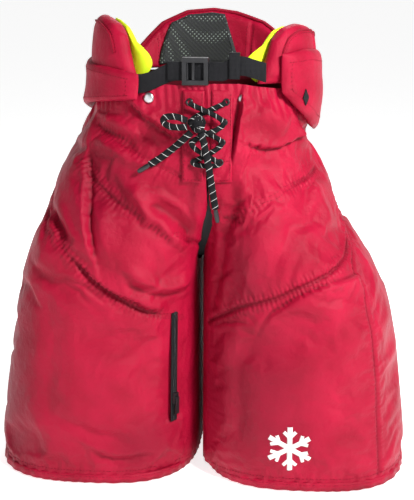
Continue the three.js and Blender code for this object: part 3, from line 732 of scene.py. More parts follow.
# Double-stitched seams and single side seams: places on the cloth
SEAMS = {
    -1: {
        "upper": [(-136, 388), (-123, 376), (-102, 359), (-64, 338), (-29, 315), (9, 293)],
        "band": [
            ("s", 0.6, 350), (-183, 327), (-169, 312), (-148, 292), (-119, 262), (-89, 240), (-60, 223),
            (-16, 204),
        ],
        "fine": [(-118, 437), (-86, 418), (-52, 401), (-15, 384)],
        "side": [("s", 0.53, 330), ("s", 0.52, 240), ("s", 0.51, 120), ("s", 0.5, 14)],
        "back": [("s", 0.6, 350), ("s", 0.7, 300), ("s", 0.85, 262), ("s", 0.98, 250)],
        "seat": [("s", 0.62, 430), ("s", 0.72, 400), ("s", 0.86, 380), ("s", 0.99, 374)],
    },
    1: {
        "upper": [(34, 333), (70, 350), (109, 369), (138, 381)],
        "band": [(13, 200), (53, 229), (96, 245), (135, 264), (178, 295), ("s", 0.55, 330)],
        "side": [(180, 299), (185, 275), (199, 245), (209, 199), (225, 16)],
        "back": [("s", 0.55, 330), ("s", 0.7, 296), ("s", 0.85, 262), ("s", 0.98, 250)],
        "seat": [("s", 0.62, 430), ("s", 0.72, 400), ("s", 0.86, 380), ("s", 0.99, 374)],
    },
}

DOUBLE_SEAMS = ("band", "upper", "back", "seat")
SEAM_STRENGTH = {"side": 0.7, "fine": 0.4, "upper": 0.7, "seat": 0.6}

# Folds: kind, places, height, width. A ridge is round, a crease is a sharp valley, and a lap bulges on
# one side of its line (the left of its direction, seen from outside) and drops sharply at the line.
FOLDS = {
    -1: [
        ("lap", [(-129, 412), (-129, 388), (-126, 361), (-120, 310), (-112, 278)], 11, 34),
        ("lap", [(-2, 216), (-42, 222), (-75, 240), (-105, 256), (-142, 288)], 8, 26),
        ("crease", [(-60, 352), (-38, 345), (-17, 327), (-3, 306)], 8, 7),
        ("ridge", [(-84, 372), (-60, 352), (-30, 318), (-12, 292)], 7, 9),
        ("ridge", [(-71, 376), (-58, 348), (-54, 322)], 6, 8),
        ("crease", [(-86, 262), (-62, 252), (-38, 240), (-14, 238)], 6, 7),
        ("ridge", [(-92, 282), (-62, 266), (-34, 252), (-6, 256)], 7.5, 8),
        ("ridge", [(-104, 352), (-106, 318), (-98, 286)], 4, 11),
        ("lap", [(-14, 424), (-40, 438), (-74, 462), (-84, 474)], 9, 14),
        ("crease", [(-120, 432), (-92, 426), (-66, 412)], 7, 7),
        ("ridge", [(-116, 420), (-84, 404), (-44, 388)], 6, 9),
        ("crease", [(-172, 334), (-157, 318), (-152, 300)], 7, 6),
        ("ridge", [(-186, 318), (-178, 290), (-186, 262)], 5, 12),
        ("ridge", [("s", 0.5, 360), ("s", 0.5, 330), ("s", 0.49, 300)], 4, 12),
        ("crease", [(-178, 246), (-168, 180), (-176, 120), (-170, 60)], 4, 12),
        ("crease", [(-150, 84), (-118, 70), (-82, 66)], 3, 7),
        ("ridge", [(-140, 62), (-110, 48), (-74, 44)], 3, 7),
        ("crease", [(-112, 150), (-76, 166), (-44, 190)], 2.5, 8),
        ("crease", [(-128, 44), (-96, 34), (-60, 36)], 3, 6),
        ("ridge", [(-140, 190), (-146, 120), (-138, 60)], 2.5, 26),
        ("crease", [(-52, 190), (-66, 130), (-62, 60)], 2.5, 13),
        ("ridge", [(-92, 200), (-98, 120), (-90, 50)], 2.0, 24),
    ],
    1: [
        ("lap", [(40, 398), (44, 418), (46, 436), (49, 451), (52, 480)], 11, 15),
        ("lap", [(124, 430), (104, 419), (88, 415), (66, 418), (52, 424)], 8, 14),
        ("ridge", [(70, 466), (84, 452), (100, 436)], 7, 15),
        ("crease", [(112, 456), (120, 431), (134, 408), (150, 370)], 7, 7),
        ("ridge", [(110, 446), (114, 424), (126, 404)], 4, 7),
        ("crease", [(155, 360), (166, 336), (178, 312)], 4, 9),
        ("ridge", [(130, 372), (146, 340), (160, 312)], 6, 12),
        ("ridge", [(92, 392), (84, 350), (70, 312), (66, 262)], 6, 22),
        ("crease", [(118, 340), (104, 304), (88, 268)], 5, 12),
        ("lap", [(74, 190), (82, 212), (98, 230), (128, 250), (168, 263), (196, 261)], 5.5, 22),
        ("crease", [(40, 400), (44, 360), (38, 320), (32, 282), (20, 228)], 5, 8),
        ("crease", [(60, 196), (54, 150), (56, 90), (50, 40)], 4, 12),
        ("ridge", [(92, 190), (96, 130), (92, 60)], 2.2, 28),
        ("crease", [(150, 220), (160, 160), (156, 90)], 2, 20),
        ("ridge", [(186, 220), (190, 150), (192, 70)], 2.5, 15),
    ],
}
PUFFS = {-1: [(-78, 300, 5, 30), (-100, 330, 3, 24)], 1: [(86, 450, 7, 24), (88, 340, 4, 40)]}
BACK_FOLDS = [
    ("ridge", [("s", 0.66, 420), ("s", 0.74, 380), ("s", 0.84, 330)], 4, 16),
    ("crease", [("s", 0.72, 440), ("s", 0.8, 400), ("s", 0.93, 360)], 4, 9),
    ("ridge", [("s", 0.86, 440), ("s", 0.9, 390), ("s", 0.94, 350)], 4, 12),
    ("crease", [("s", 0.62, 300), ("s", 0.74, 250), ("s", 0.9, 226)], 4, 10),
    ("ridge", [("s", 0.7, 230), ("s", 0.72, 150), ("s", 0.7, 60)], 3, 24),
    ("crease", [("s", 0.84, 220), ("s", 0.82, 140), ("s", 0.85, 60)], 3, 16),
    ("crease", [("s", 0.58, 250), ("s", 0.6, 160), ("s", 0.58, 60)], 2.5, 16),
]


def beside_zip(points, side):
    """1 on the strip of the left leg where the zip is sewn in, 0 elsewhere."""
    if side > 0:
        return np.zeros(len(points))
    strip = np.exp(-((points[:, 0] + 23) / 18) ** 4) * (1 - smooth(226, 242, points[:, 2]))
    return strip * smooth(-60, -90, points[:, 1]) * smooth(70, 84, points[:, 2])


def fold_shift(kind, d, sign, share, height, width):
    ends = np.minimum(smooth(0, 0.22, share), 1 - smooth(0.78, 1.0, share)) * 0.85 + 0.15
    if kind == "ridge":
        return height * ends * np.exp(-(d / width) ** 1.5)
    if kind == "crease":
        lips = 0.35 * np.exp(-((d - 1.9 * width) / width) ** 2)
        return height * ends * (lips - np.exp(-(d / width) ** 1.1))
    full = np.exp(-(d / width) ** 1.2) * smooth(-1.5, 2.0, d)
    return height * ends * np.where(sign > 0, full, -0.6 * np.exp(-(d / 4) ** 1.3))


def small_wrinkles(side, count=170):
    """Short shallow creases that mostly run from the hip toward the crotch or down the legs."""
    random = np.random.default_rng(31 if side < 0 else 47)
    for _ in range(count):
        s, z = random.uniform(0.02, 0.98), random.uniform(30, 465)
        slant = random.normal(0.15 if z < 200 else -0.9, 0.45)
        length = random.uniform(18, 60)
        ds, dz = math.cos(slant + math.pi / 2) * length / HALF_ROUND, math.sin(slant + math.pi / 2) * length
        mirror = 1 if s < 0.5 else -1
        middle = (s + ds * mirror * 0.5 + random.normal(0, 0.006), z + dz * 0.5)
        ends = [(s, z), middle, (s + ds * mirror, z + dz)]
        places = [("s", float(np.clip(a, 0.01, 0.99)), float(np.clip(b, 20, 478))) for a, b in ends]
        strength = random.uniform(0.5, 1.7) * (1.0 if z > 200 else 0.6)
        yield ("crease" if random.random() < 0.55 else "ridge", places, strength, random.uniform(2.2, 6.0))


def shape_cover(obj, side):
    """Adds the folds of the cloth."""
    points, normals = vertex_array(obj), normal_array(obj)
    shift = np.zeros(len(points))
    for kind, places, height, width in FOLDS[side] + BACK_FOLDS + list(small_wrinkles(side)):
        line = surface_line(side, places, 6.0)
        near, d, sign, place, length = line_field(points, normals, line, width * 2.6)
        shift[near] += fold_shift(kind, d, sign, place / length, height, width)
    for x, z, height, radius in PUFFS[side]:
        centre = outer_point(side, np.array([s_at(side, x, z)]), np.array([float(z)]))[0]
        shift += height * np.exp(-(np.linalg.norm(points - centre, axis=1) / radius) ** 2)
    inner = 1 - smooth(4, 22, np.abs(points[:, 0] - np.interp(points[:, 2], GAP_Z, GAP_X)))
    shift *= 1 - 0.9 * inner * (points[:, 2] < 395)
    zip_strip = beside_zip(points, side)
    shift = shift * (1 - zip_strip) - 2.4 * zip_strip
    gathers = smooth(446, 480, points[:, 2]) * smooth(0, -40, points[:, 1])
    wave = points[:, 0] / 8.5 * TAU + 2.5 * np.sin(points[:, 0] / 17) + points[:, 2] / 14
    shift += 0.9 * gathers * np.sin(wave)
    shift = np.where(shift < 0, -6.5 * np.tanh(-shift / 6.5), shift)
    set_vertices(obj, points + shift[:, None] * normals)


def seam_detail(obj, side, lines):
    """Adds grooves and puckers along the seams and a gathered hem, and returns the painted shade of each
    point in the seam grooves.
    """
    points, normals = vertex_array(obj), normal_array(obj)
    shift, dark = np.zeros(len(points)), np.zeros(len(points))
    for key, line in lines.items():
        near, d, _, place, _ = line_field(points, normals, line, 18)
        strong = SEAM_STRENGTH.get(key, 1.0)
        groove = np.exp(-(d / 2.6) ** 2)
        pucker = np.sin(place / 5.6 * TAU + 2.2 * np.sin(place / 23)) * np.exp(-((d - 5.5) / 5.5) ** 2)
        shift[near] += strong * (0.75 * pucker - 2.6 * groove + 0.8 * np.exp(-((d - 6) / 3.5) ** 2))
        dark[near] = np.maximum(dark[near], 0.75 * strong * groove)
    hem = np.exp(-((points[:, 2] - HEM_Z) / 8) ** 2)
    angle = np.arctan2(points[:, 1], points[:, 0] - side * 132)
    shift += hem * (0.7 * np.sin(angle * 58) - 0.8)
    shift *= 1 - beside_zip(points, side)
    set_vertices(obj, points + shift[:, None] * normals)
    return dark


def hollow_share(obj, passes=6):
    """How far each point lies below the average of its neighbours, from 0 to 1."""
    points = vertex_array(obj)
    edges = np.empty(2 * len(obj.data.edges), int)
    obj.data.edges.foreach_get("vertices", edges)
    edges = edges.reshape(-1, 2)
    count = np.bincount(edges.ravel(), minlength=len(points))[:, None] + 1e-9
    smoothed = points.copy()
    for _ in range(passes):
        total = np.zeros_like(smoothed)
        np.add.at(total, edges[:, 0], smoothed[edges[:, 1]])
        np.add.at(total, edges[:, 1], smoothed[edges[:, 0]])
        smoothed = total / count
    below = np.einsum("ij,ij->i", smoothed - points, normal_array(obj))
    return smooth(0.15, 1.4, below)


def offset_line(line, tree, amount):
    """The line moved sideways along a surface."""
    spots, normals = on_surface(tree, line, 0)
    ahead = np.gradient(spots, axis=0)
    ahead /= np.linalg.norm(ahead, axis=1)[:, None] + 1e-9
    return spots + np.cross(ahead, normals) * amount


# Patches painted a darker colour: x, z, half width, half height; and the line of a scuff
DARKENED_PATCHES = {
    -1: [(-235, 110, 45, 130), (-110, 370, 40, 50), (-60, 52, 40, 36)],
    1: [(72, 128, 62, 95), (60, 270, 30, 60)],
}
SCUFF = {1: [(113, 161), (128, 172), (142, 178), (155, 187)], -1: [(-150, 96), (-141, 104), (-136, 118)]}


def held_points(cover, side, lines):
    """How firmly each point is held while the cover is blown up: at its seams, hem, waist, fly and zip."""
    points, normals = vertex_array(cover), normal_array(cover)
    x, z = points[:, 0], points[:, 2]
    held = np.zeros(len(points))
    for line in lines.values():
        near, d, _, _, _ = line_field(points, normals, line, 20)
        held[near] = np.maximum(held[near], np.exp(-(d / 6.0) ** 2))
    held = np.maximum(held, 1 - smooth(HEM_Z, HEM_Z + 16, z))
    held = np.maximum(held, smooth(WAIST_Z - 20, WAIST_Z - 6, z))
    held = np.maximum(held, (1 - smooth(30, 46, np.abs(x - FLY_X))) * (z > 360))
    held = np.maximum(held, 1 - smooth(10, 24, np.abs(x)))
    return np.maximum(held, beside_zip(points, side))


def worn_share(cover, side):
    """Where a scuff has rubbed the cloth pale."""
    line = surface_line(side, SCUFF[side])
    near, d, _, place, _ = line_field(vertex_array(cover), normal_array(cover), line, 6)
    worn = np.zeros(len(cover.data.vertices))
    worn[near] = np.exp(-(d / 1.3) ** 2) * (0.55 + 0.45 * np.sin(place * 0.9))
    return worn


# How much each point is painted darker, from the listed patches
def darkened_share(cover, side):
    points = vertex_array(cover)
    darkened = np.zeros(len(points))
    for x, z, half_width, half_height in DARKENED_PATCHES[side]:
        reach = ((points[:, 0] - x) / half_width) ** 2 + ((points[:, 2] - z) / half_height) ** 2
        darkened = np.maximum(darkened, np.exp(-reach ** 1.5))
    return darkened


def build_cover(word, side):
    """One half of the shell with its stitches and its lining. Returns the cloth and its surface."""
    cover = cover_half(f"cover_{word}", side, NYLON)
    merge_close(cover, 0.3)
    shape_cover(cover, side)
    lines = {key: surface_line(side, places) for key, places in SEAMS[side].items()}
    cloth_relax(cover, held_points(cover, side, lines), 1.2, 0.045, 6.0, 4.0)
    subdivide(cover)
    dark = seam_detail(cover, side, lines)
    # Painted shade: the colour darkens in the seam grooves and in the hollows of the folds
    store(cover, "crease", np.maximum(dark, 0.8 * hollow_share(cover)))
    store(cover, "worn", worn_share(cover, side))
    store(cover, "darkened", darkened_share(cover, side))
    tree = bvh_of(cover)
    rows = []
    for key, line in lines.items():
        for amount in ((-3.0, 3.0) if key in DOUBLE_SEAMS else (2.6,)):
            rows.append(offset_line(line, tree, amount))
    thread = stitches(f"cover_stitches_{word}", tree, rows, THREAD)
    lining = cover_half(f"cover_lining_{word}", side, LINING, is_lining=True, columns=60, rows=48)
    for piece in (cover, thread, lining):
        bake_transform(piece)
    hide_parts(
        "hip_cover", f"leg_cover_{word}", f"hip_pad_{word}", f"thigh_plate_{word}",
        f"thigh_foam_{word}", f"rear_pad_{word}", "tailbone_pad",
    )
    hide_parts("hip_liner", f"leg_liner_{word}")
    return cover, tree


covers = {word: build_cover(word, side) for word, side in SIDES}

# ---------------------------------------------------------------- hem bands
HEM_COLUMNS = 220
HEM_PROFILE = [
    (2.0, 1.2), (0.4, 4.0), (-0.9, 3.0), (-0.9, 11.0), (0.6, 13.2), (3.2, 13.0), (5.6, 10.0), (5.8, 3.0),
    (4.2, 0.5),
]
HEM_STITCH_Z = (10.5, 17.5)


def leg_ring(turns, z, inset):
    return leg_point(turns, np.full_like(turns, z), inset)


def hem_band(word, side):
    """Rolled hem of one leg, swept round from its (inset, height) profile, with a gathered outer face."""
    turns = np.linspace(0, 1, HEM_COLUMNS, endpoint=False)
    ripple = 0.8 * np.sin(turns * TAU * 52 + 3 * np.sin(turns * TAU * 5))
    rings = []
    for inset, z in HEM_PROFILE:
        edge = leg_ring(turns, z, 0.0)
        inward = leg_ring(turns, z, inset) - edge
        normal = inward / (np.linalg.norm(inward, axis=1)[:, None] + 1e-9) * (-1 if inset > 0 else 1)
        gathered = 1.0 if inset < 2.5 else 0.2
        rings.append((edge + inward + normal * (ripple * gathered)[:, None]) * (side, 1, 1))
    rings.append(rings[0])
    faces = grid_faces(len(rings), HEM_COLUMNS, wrap=True, flip=side < 0)
    hem = mesh_object(f"hem_{word}", np.vstack(rings), faces, NYLON)
    merge_close(hem, 0.05)
    around = np.linspace(0, 1, 240)
    rows = [leg_ring(around, z, -3.0) * (side, 1, 1) for z in HEM_STITCH_Z]
    thread = stitches(f"hem_stitches_{word}", bvh_of(hem, covers[word][0]), rows, THREAD)
    ride_all(f"leg_{word}", "red_nylon", hem, thread)
    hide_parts(f"hem_band_{word}")


for word, side in SIDES:
    hem_band(word, side)

# ---------------------------------------------------------------- pads above the waist
GRID_TURN = 1 / 36
GUARD_SEAM_Z = 487
KIDNEY_TOP_U = [0, 0.1, 0.25, 0.42, 0.6, 0.75, 0.9, 1]
KIDNEY_TOP_Z = [540, 553, 559, 560, 559, 553, 536, 515]
SPINE_TOP_U = [0, 0.08, 0.2, 0.36, 0.52, 0.66, 0.84, 1]
SPINE_TOP_Z = [508, 522, 543, 557, 560, 556, 545, 526]
# Lower and upper edge of each belt pad, and where its front end lies, in steps of GRID_TURN
WING_EDGES = {
    -1: ([0, 0.15, 0.45, 0.75, 1], [470, 466, 456, 441, 438], [0, 0.2, 0.6, 1], [499, 505, 510, 507], 6.2),
    1: ([0, 0.12, 0.36, 0.6, 1], [478, 458, 431, 421, 442], [0, 0.2, 0.6, 1], [522, 526, 520, 508], 4.8),
}


def pillow(name, outer, inner, columns, rows, material, edge_u, edge_v, channels=(), rim=0.08):
    """Closed crowned pad between two surfaces, pulled together along its edges and its sewn channels."""
    u, v = np.meshgrid(np.linspace(0, 1, columns), np.linspace(0, 1, rows))
    rim_u = np.clip(np.minimum(u, 1 - u) / edge_u, 0, 1)
    rim_v = np.clip(np.minimum(v, 1 - v) / edge_v, 0, 1)
    fullness = np.sqrt((1 - (1 - rim_u) ** 2) * (1 - (1 - rim_v) ** 2))
    for place, width, depth in channels:
        fullness = fullness * (1 - depth * np.exp(-((u - place) / width) ** 2))
    fullness = (rim + (1 - rim) * fullness)[..., None]
    outside, inside = outer(u, v), inner(u, v)
    middle = (outside + inside) / 2
    front, back = middle + (outside - middle) * fullness, middle + (inside - middle) * fullness
    return closed_shell(name, front, back, material)


def puffed(pad, cap_out=2.0, seam_z=None):
    """Blows a pad up, held at the seam it is sewn on by, and returns its surface."""
    heights = vertex_array(pad)[:, 2]
    pinned = np.full(len(heights), 0.02) if seam_z is None else np.exp(-((heights - seam_z) / 8) ** 2)
    cloth_relax(pad, pinned, 2.0, 0.03, cap_out, 2.0)
    subdivide(pad)
    return bvh_of(pad)


def surface_path(point, places):
    """Smooth line on a pad through (u, v) places."""
    uv = spline([(u, v, 0) for u, v in places], 0.02)
    return resample(np.array([point(np.array(p[0]), np.array(p[1])) for p in uv]), 2.0)


def kidney_point(side, u, v, inset):
    """Guard beside the waist: it leans inward, its top is rounded and its front edge slants back."""
    first = 5.8 - 0.9 * np.maximum(v, 0)
    turn = (first - (first + 3.0) * u) * GRID_TURN
    top = np.interp(u, KIDNEY_TOP_U, KIDNEY_TOP_Z)
    if side > 0:
        top = top - 5 - 10 * smooth(0.1, 0.7, u)
    z = GUARD_SEAM_Z + (top - GUARD_SEAM_Z) * v
    lean_in = 8 * np.maximum(0, (z - 500) / 60) ** 1.5
    return hip_point(turn, z, inset + lean_in) * (side, 1, 1)


def neon_point(side, u, v, inset):
    """The lining is wider than the pad, and shows as a crescent inside its front edge."""
    start = 0.02 - 0.13 * np.sin(np.clip(v, 0, 1) * math.pi)
    return kidney_point(side, start + (0.97 - start) * u, 0.03 + 0.93 * v, inset)


def wing_point(side, u, v, proud):
    """Belt pad, which wraps round the hip from the belt and hangs lower toward the back."""
    low_u, low_z, high_u, high_z, first = WING_EDGES[side]
    low, high = np.interp(u, low_u, low_z), np.interp(u, high_u, high_z)
    turn = (first + (-4 - first) * u) * GRID_TURN
    return lean(hip_point(turn, low + (high - low) * v, -proud) * (side, 1, 1))


def spine_point(u, v, inset, low=GUARD_SEAM_Z):
    """Back guard, whose top is highest left of the middle and falls away to both sides."""
    top = np.interp(u, SPINE_TOP_U, SPINE_TOP_Z)
    turn = 0.75 + 4.7 * GRID_TURN * (2 * u - 1)
    z = low + (top - low) * v
    bend = 8 * ((z - GUARD_SEAM_Z) / 71) ** 2
    return hip_point(turn, z, inset - bend)


def panel_point(u, v, inset):
    """Mesh panel on the inner face of the back guard, with slanting sides."""
    left = 0.14 + 0.10 * v ** 2
    right = 0.72 - 0.12 * v
    return spine_point(left + (right - left) * u, 0.06 + 0.90 * v, inset, 490)


def kidney_guard(word, side):
    """Guard with a raised seam near its edge, a pleat down its middle and a bright lining."""
    body = f"kidney_guard_{word}"
    pad = pillow(
        f"kidney_guard_pad_{word}",
        partial(kidney_point, side, inset=-7), partial(kidney_point, side, inset=13),
        44, 40, PAD_NYLON, 0.16, 0.24, channels=((0.5, 0.02, 0.45),), rim=0.22,
    )
    tree = puffed(pad, 2.5, GUARD_SEAM_Z)
    outside = partial(kidney_point, side, inset=-6)
    seam = surface_path(
        outside, [(0.09, 0.52), (0.1, 0.7), (0.14, 0.84), (0.3, 0.9), (0.5, 0.9), (0.9, 0.86)],
    )
    pleat = surface_path(outside, [(0.5, 0.55), (0.5, 0.75), (0.51, 0.88)])
    piping = swept(f"kidney_piping_{word}", on_surface(tree, seam, 0.6)[0], 3.0, 3.0, BINDING, sides=8)
    rows = [offset_line(seam, tree, 3.2), offset_line(pleat, tree, 2.0), offset_line(pleat, tree, -2.0)]
    thread = stitches(f"kidney_stitches_{word}", tree, rows, THREAD)
    ride_all(body, "red_nylon", pad, piping, thread)
    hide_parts(f"kidney_pad_{word}")
    lining = pillow(
        f"kidney_guard_lining_{word}", lambda u, v: neon_point(side, u, v, 9.5 + 4 * smooth(0, 0.2, u)),
        partial(neon_point, side, inset=17.5), 40, 30, NEON, 0.06, 0.08,
    )
    ride_all(body, "neon_lining", lining)
    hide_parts(f"kidney_lining_{word}")


def belt_pad(word, side):
    """Pad at one end of the belt, stitched round near its edges."""
    pad = pillow(
        f"belt_pad_cover_{word}", partial(wing_point, side, proud=15), partial(wing_point, side, proud=1.0),
        56, 22, PAD_NYLON, 0.09, 0.22,
    )
    tree = puffed(pad)
    seams = [
        [(0.03, 0.8), (0.2, 0.84), (0.5, 0.85), (0.95, 0.85)],
        [(0.03, 0.2), (0.2, 0.15), (0.5, 0.14), (0.95, 0.14)],
        [(0.045, 0.2), (0.04, 0.5), (0.045, 0.8)],
    ]
    rows = [surface_path(partial(wing_point, side, proud=20), places) for places in seams]
    thread = stitches(f"belt_pad_stitches_{word}", tree, rows, THREAD)
    ride_all("hips", "red_nylon", pad, thread)
    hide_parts(f"belt_pad_{word}")


def spine_guard():
    """Back guard with two sewn channels and a bound edge."""
    pad = pillow(
        "spine_guard_pad", partial(spine_point, inset=0), partial(spine_point, inset=17),
        64, 34, PAD_NYLON, 0.06, 0.12, channels=((0.16, 0.012, 0.3), (0.78, 0.012, 0.35)),
    )
    tree = puffed(pad, seam_z=GUARD_SEAM_Z)
    outside = partial(spine_point, inset=22)
    rows = [surface_path(outside, [(u, 0.06), (u, 0.5), (u, 0.9)]) for u in (0.14, 0.18, 0.76, 0.80)]
    thread = stitches("spine_stitches", tree, rows, THREAD)
    rim = surface_path(partial(spine_point, inset=8.5), [
        (0.0, 0.04), (0.0, 0.5), (0.02, 0.96), (0.2, 1.0), (0.5, 1.0), (0.8, 1.0), (0.98, 0.96), (1.0, 0.5),
        (1.0, 0.04),
    ])
    edge = swept("spine_binding", rim, 5.0, 7.0, BINDING)
    ride_all("spine_guard", "red_nylon", pad, thread, edge)
    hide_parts("spine_pad")


def spine_mesh():
    panel = pillow(
        "spine_mesh_cover", partial(panel_point, inset=16.4), partial(panel_point, inset=20.6),
        50, 34, MESH, 0.04, 0.05,
    )
    edge = surface_path(partial(panel_point, inset=22), [
        (0.04, 0.05), (0.04, 0.5), (0.05, 0.94), (0.5, 0.955), (0.95, 0.94), (0.96, 0.5), (0.96, 0.05),
    ])
    thread = stitches("spine_mesh_stitches", bvh_of(panel), [edge], WEBBING, length=2.4, gap=1.4)
    ride_all("spine_guard", "black_mesh", panel, thread)
    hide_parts("spine_mesh_panel")


for word, side in SIDES:
    kidney_guard(word, side)
    belt_pad(word, side)
spine_guard()
spine_mesh()

# ---------------------------------------------------------------- embroidered star and webbing tab
STAR_CENTRE, STAR_RADIUS = (115, 60), 28.0
# Bars of one arm, as (along, beside) its middle line from end to end, with their widths
STAR_BARS = [((0.0, 0.0), (1.0, 0.0), 6.4), ((0.5, 0.0), (0.78, 0.26), 4.4), ((0.5, 0.0), (0.78, -0.26), 4.4)]
TAB_CENTRE, TAB_HALF_WIDTH, TAB_HALF_HEIGHT = (124, -70, 471), 8.5, 9.5
TAB_CELLS = 8


def satin_bar(tree, start, end, width, lift):
    """Embroidered bar: threads laid side by side across the line from start to end, as points and faces."""
    spots, normals = on_surface(tree, resample([start, end], 0.9), lift)
    beside = np.cross(unit(np.gradient(spots, axis=0)), normals)
    points = []
    for k in range(len(spots)):
        for share in (-1, -0.92, -0.4, 0.4, 0.92, 1):
            crown = 0.9 * (1 - share ** 4) - (0.9 if abs(share) == 1 else 0)
            ridge = 0.14 if k % 2 else 0.0
            points.append(spots[k] + beside[k] * width / 2 * share + normals[k] * (crown + ridge))
    return points, grid_faces(len(spots), 6)


def embroidered_star(tree):
    """Plain star of six branched arms on the front of the right leg."""
    points, faces = [], []
    for arm in range(6):
        a = arm / 6 * TAU + TAU / 12
        for *bar, width in STAR_BARS:
            ends = []
            for u, v in bar:
                x = STAR_CENTRE[0] + STAR_RADIUS * (u * math.cos(a) - v * math.sin(a))
                z = STAR_CENTRE[1] + STAR_RADIUS * (u * math.sin(a) + v * math.cos(a))
                ends.append(np.array([x, -134, z]))
            new_points, new_faces = satin_bar(tree, *ends, width, 0.35)
            faces += [tuple(len(points) + i for i in face) for face in new_faces]
            points += new_points
    ride_all("leg_right", "black_webbing", mesh_object("embroidered_star", points, faces, WHITE))


def webbing_tab():
    """Small square of webbing, set on one corner, on the right belt pad."""
    tree = bvh_of(bpy.data.objects["belt_pad_cover_right"])
    x, y, z = TAB_CENTRE
    corners = [(x, y, z + TAB_HALF_HEIGHT), (x + TAB_HALF_WIDTH, y, z)]
    corners += [(x, y, z - TAB_HALF_HEIGHT), (x - TAB_HALF_WIDTH, y, z)]
    a, b, c, d = on_surface(tree, np.array(corners), 0.5)[0]
    shares = np.arange(TAB_CELLS + 1) / TAB_CELLS
    grid = [(a * (1 - u) + b * u) * (1 - v) + (d * (1 - u) + c * u) * v for v in shares for u in shares]
    lifted, _ = on_surface(tree, np.array(grid), 0.8)
    tab = mesh_object("webbing_tab", lifted, grid_faces(TAB_CELLS + 1, TAB_CELLS + 1), WEBBING)
    apply_modifier(tab, "SOLIDIFY", thickness=1.2 * MM, offset=0)
    ride_all("hips", "black_webbing", tab)


embroidered_star(covers["right"][1])
webbing_tab()

# ---------------------------------------------------------------- fly: tongue, plackets, eyelets and lace
FLY_LOW_Z, FLY_HIGH_Z = 378, 482
EYELET_PROFILE = [
    (2.0, 0.0), (4.2, 0.0), (4.25, 0.5), (3.7, 1.2), (3.0, 1.45), (2.4, 1.2), (2.0, 0.6), (2.0, 0.0),
]
EYELET_PROUD = 4.0
LACE_NEAR, LACE_FAR = 8.2, 13.0
KNOT_CORE = [(0.5, -3.8), (4.2, -3.0), (6.4, 0), (4.2, 3.0), (0.5, 3.8)]
KNOT_CENTRE = (4, KNOT_Y, 447)
BOW_ROUTE = [
    (-7.5, KNOT_Y, 450.5), (-20, KNOT_Y - 1, 455), (-32, KNOT_Y + 1, 454), (-35, KNOT_Y + 3, 449),
    (-30, KNOT_Y + 2, 444.5), (-20, KNOT_Y - 1, 443), (-7.5, KNOT_Y, 443.5),
]


def front_patch(x_ends, z_ends, u, v, proud):
    """Point of a patch on the front of the hips, with u across it and v up it."""
    x = x_ends[0] + (x_ends[1] - x_ends[0]) * u
    z = z_ends[0] + (z_ends[1] - z_ends[0]) * v
    return front_point(x, z, proud)


def fly_tongue():
    patch = partial(front_patch, (FLY_X - 24, FLY_X + 24), (384, 480))
    tongue = pillow(
        "fly_tongue_cloth", partial(patch, proud=-4.4), partial(patch, proud=-7.2),
        20, 30, LINING, 0.05, 0.03,
    )
    ride_all("hips", "lining", tongue)
    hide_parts("fly_tongue")


def fly_placket(word, side):
    """Strip beside the fly that holds the eyelets, stitched round; the right one is crumpled at its foot."""
    x_ends = sorted((FLY_X + side * 4, FLY_X + side * 29))
    patch = partial(front_patch, x_ends, (FLY_LOW_Z, FLY_HIGH_Z))
    ripple = 0.0 if side < 0 else 0.9

    def crumpled(u, v):
        point = patch(u, v, 3.6)
        point[..., 1] -= ripple * np.sin(v * 26 + 3 * np.sin(u * 4)) * np.exp(-(v / 0.5) ** 2)
        return point

    placket = pillow(
        f"fly_placket_cloth_{word}", crumpled, partial(patch, proud=0.2), 22, 60, NYLON, 0.1, 0.03,
    )
    subdivide(placket)
    rows = []
    for u in (0.09, 0.91):
        rows.append(resample([patch(u, v, 6) for v in np.linspace(0.03, 0.98, 30)], 2))
    for v in (0.03, 0.24):
        rows.append(resample([patch(u, v, 6) for u in np.linspace(0.09, 0.91, 12)], 2))
    thread = stitches(f"fly_stitches_{word}", bvh_of(placket), rows, THREAD)
    ride_all("hips", "red_nylon", placket, thread)
    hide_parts(f"fly_placket_{word}")


def eyelet_spot(side, k, proud, rise=0):
    """Middle of an eyelet. k counts down from the top pair, and the pairs close up toward the crotch."""
    return front_point(FLY_X + side * (21 + (15 - 21) * k / 3), 469 - 22.5 * k + rise, proud)


def lathe(name, profile, place, out, material, sides=40):
    """Turned piece: profile of (radius, height) pairs, standing on the surface at place."""
    out = unit(np.asarray(out, float))
    first = unit(np.cross(out, (0, 0, 1.0)) if abs(out[2]) < 0.9 else np.cross(out, (1.0, 0, 0)))
    second = np.cross(out, first)
    angle = np.arange(sides) / sides * TAU
    round_unit = np.cos(angle)[:, None] * first, np.sin(angle)[:, None] * second
    rings = []
    for radius, height in profile:
        rings.append(np.asarray(place) + round_unit[0] * radius + round_unit[1] * radius + out * height)
    if profile[0] == profile[-1]:
        rings.pop()
        faces = grid_faces(len(rings), sides, wrap=True)
        last = (len(rings) - 1) * sides
        faces += [(last + i, last + (i + 1) % sides, (i + 1) % sides, i) for i in range(sides)]
    else:
        faces = tube_faces(len(rings), sides)
    obj = mesh_object(name, np.vstack(rings), faces, material)
    fix_normals(obj)
    return obj


def eyelet(word, side, k):
    place = eyelet_spot(side, k, EYELET_PROUD)
    out = np.cross(eyelet_spot(side, k, EYELET_PROUD, rise=1) - place, (1, 0, 0))
    out = out if out[1] < 0 else -out
    ring = lathe(f"eyelet_ring_{word}_{k + 1}", EYELET_PROFILE, place, out, PLASTIC, 28)
    ride_all("hips", "black_plastic", ring)
    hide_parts(f"eyelet_{word}_{k + 1}")


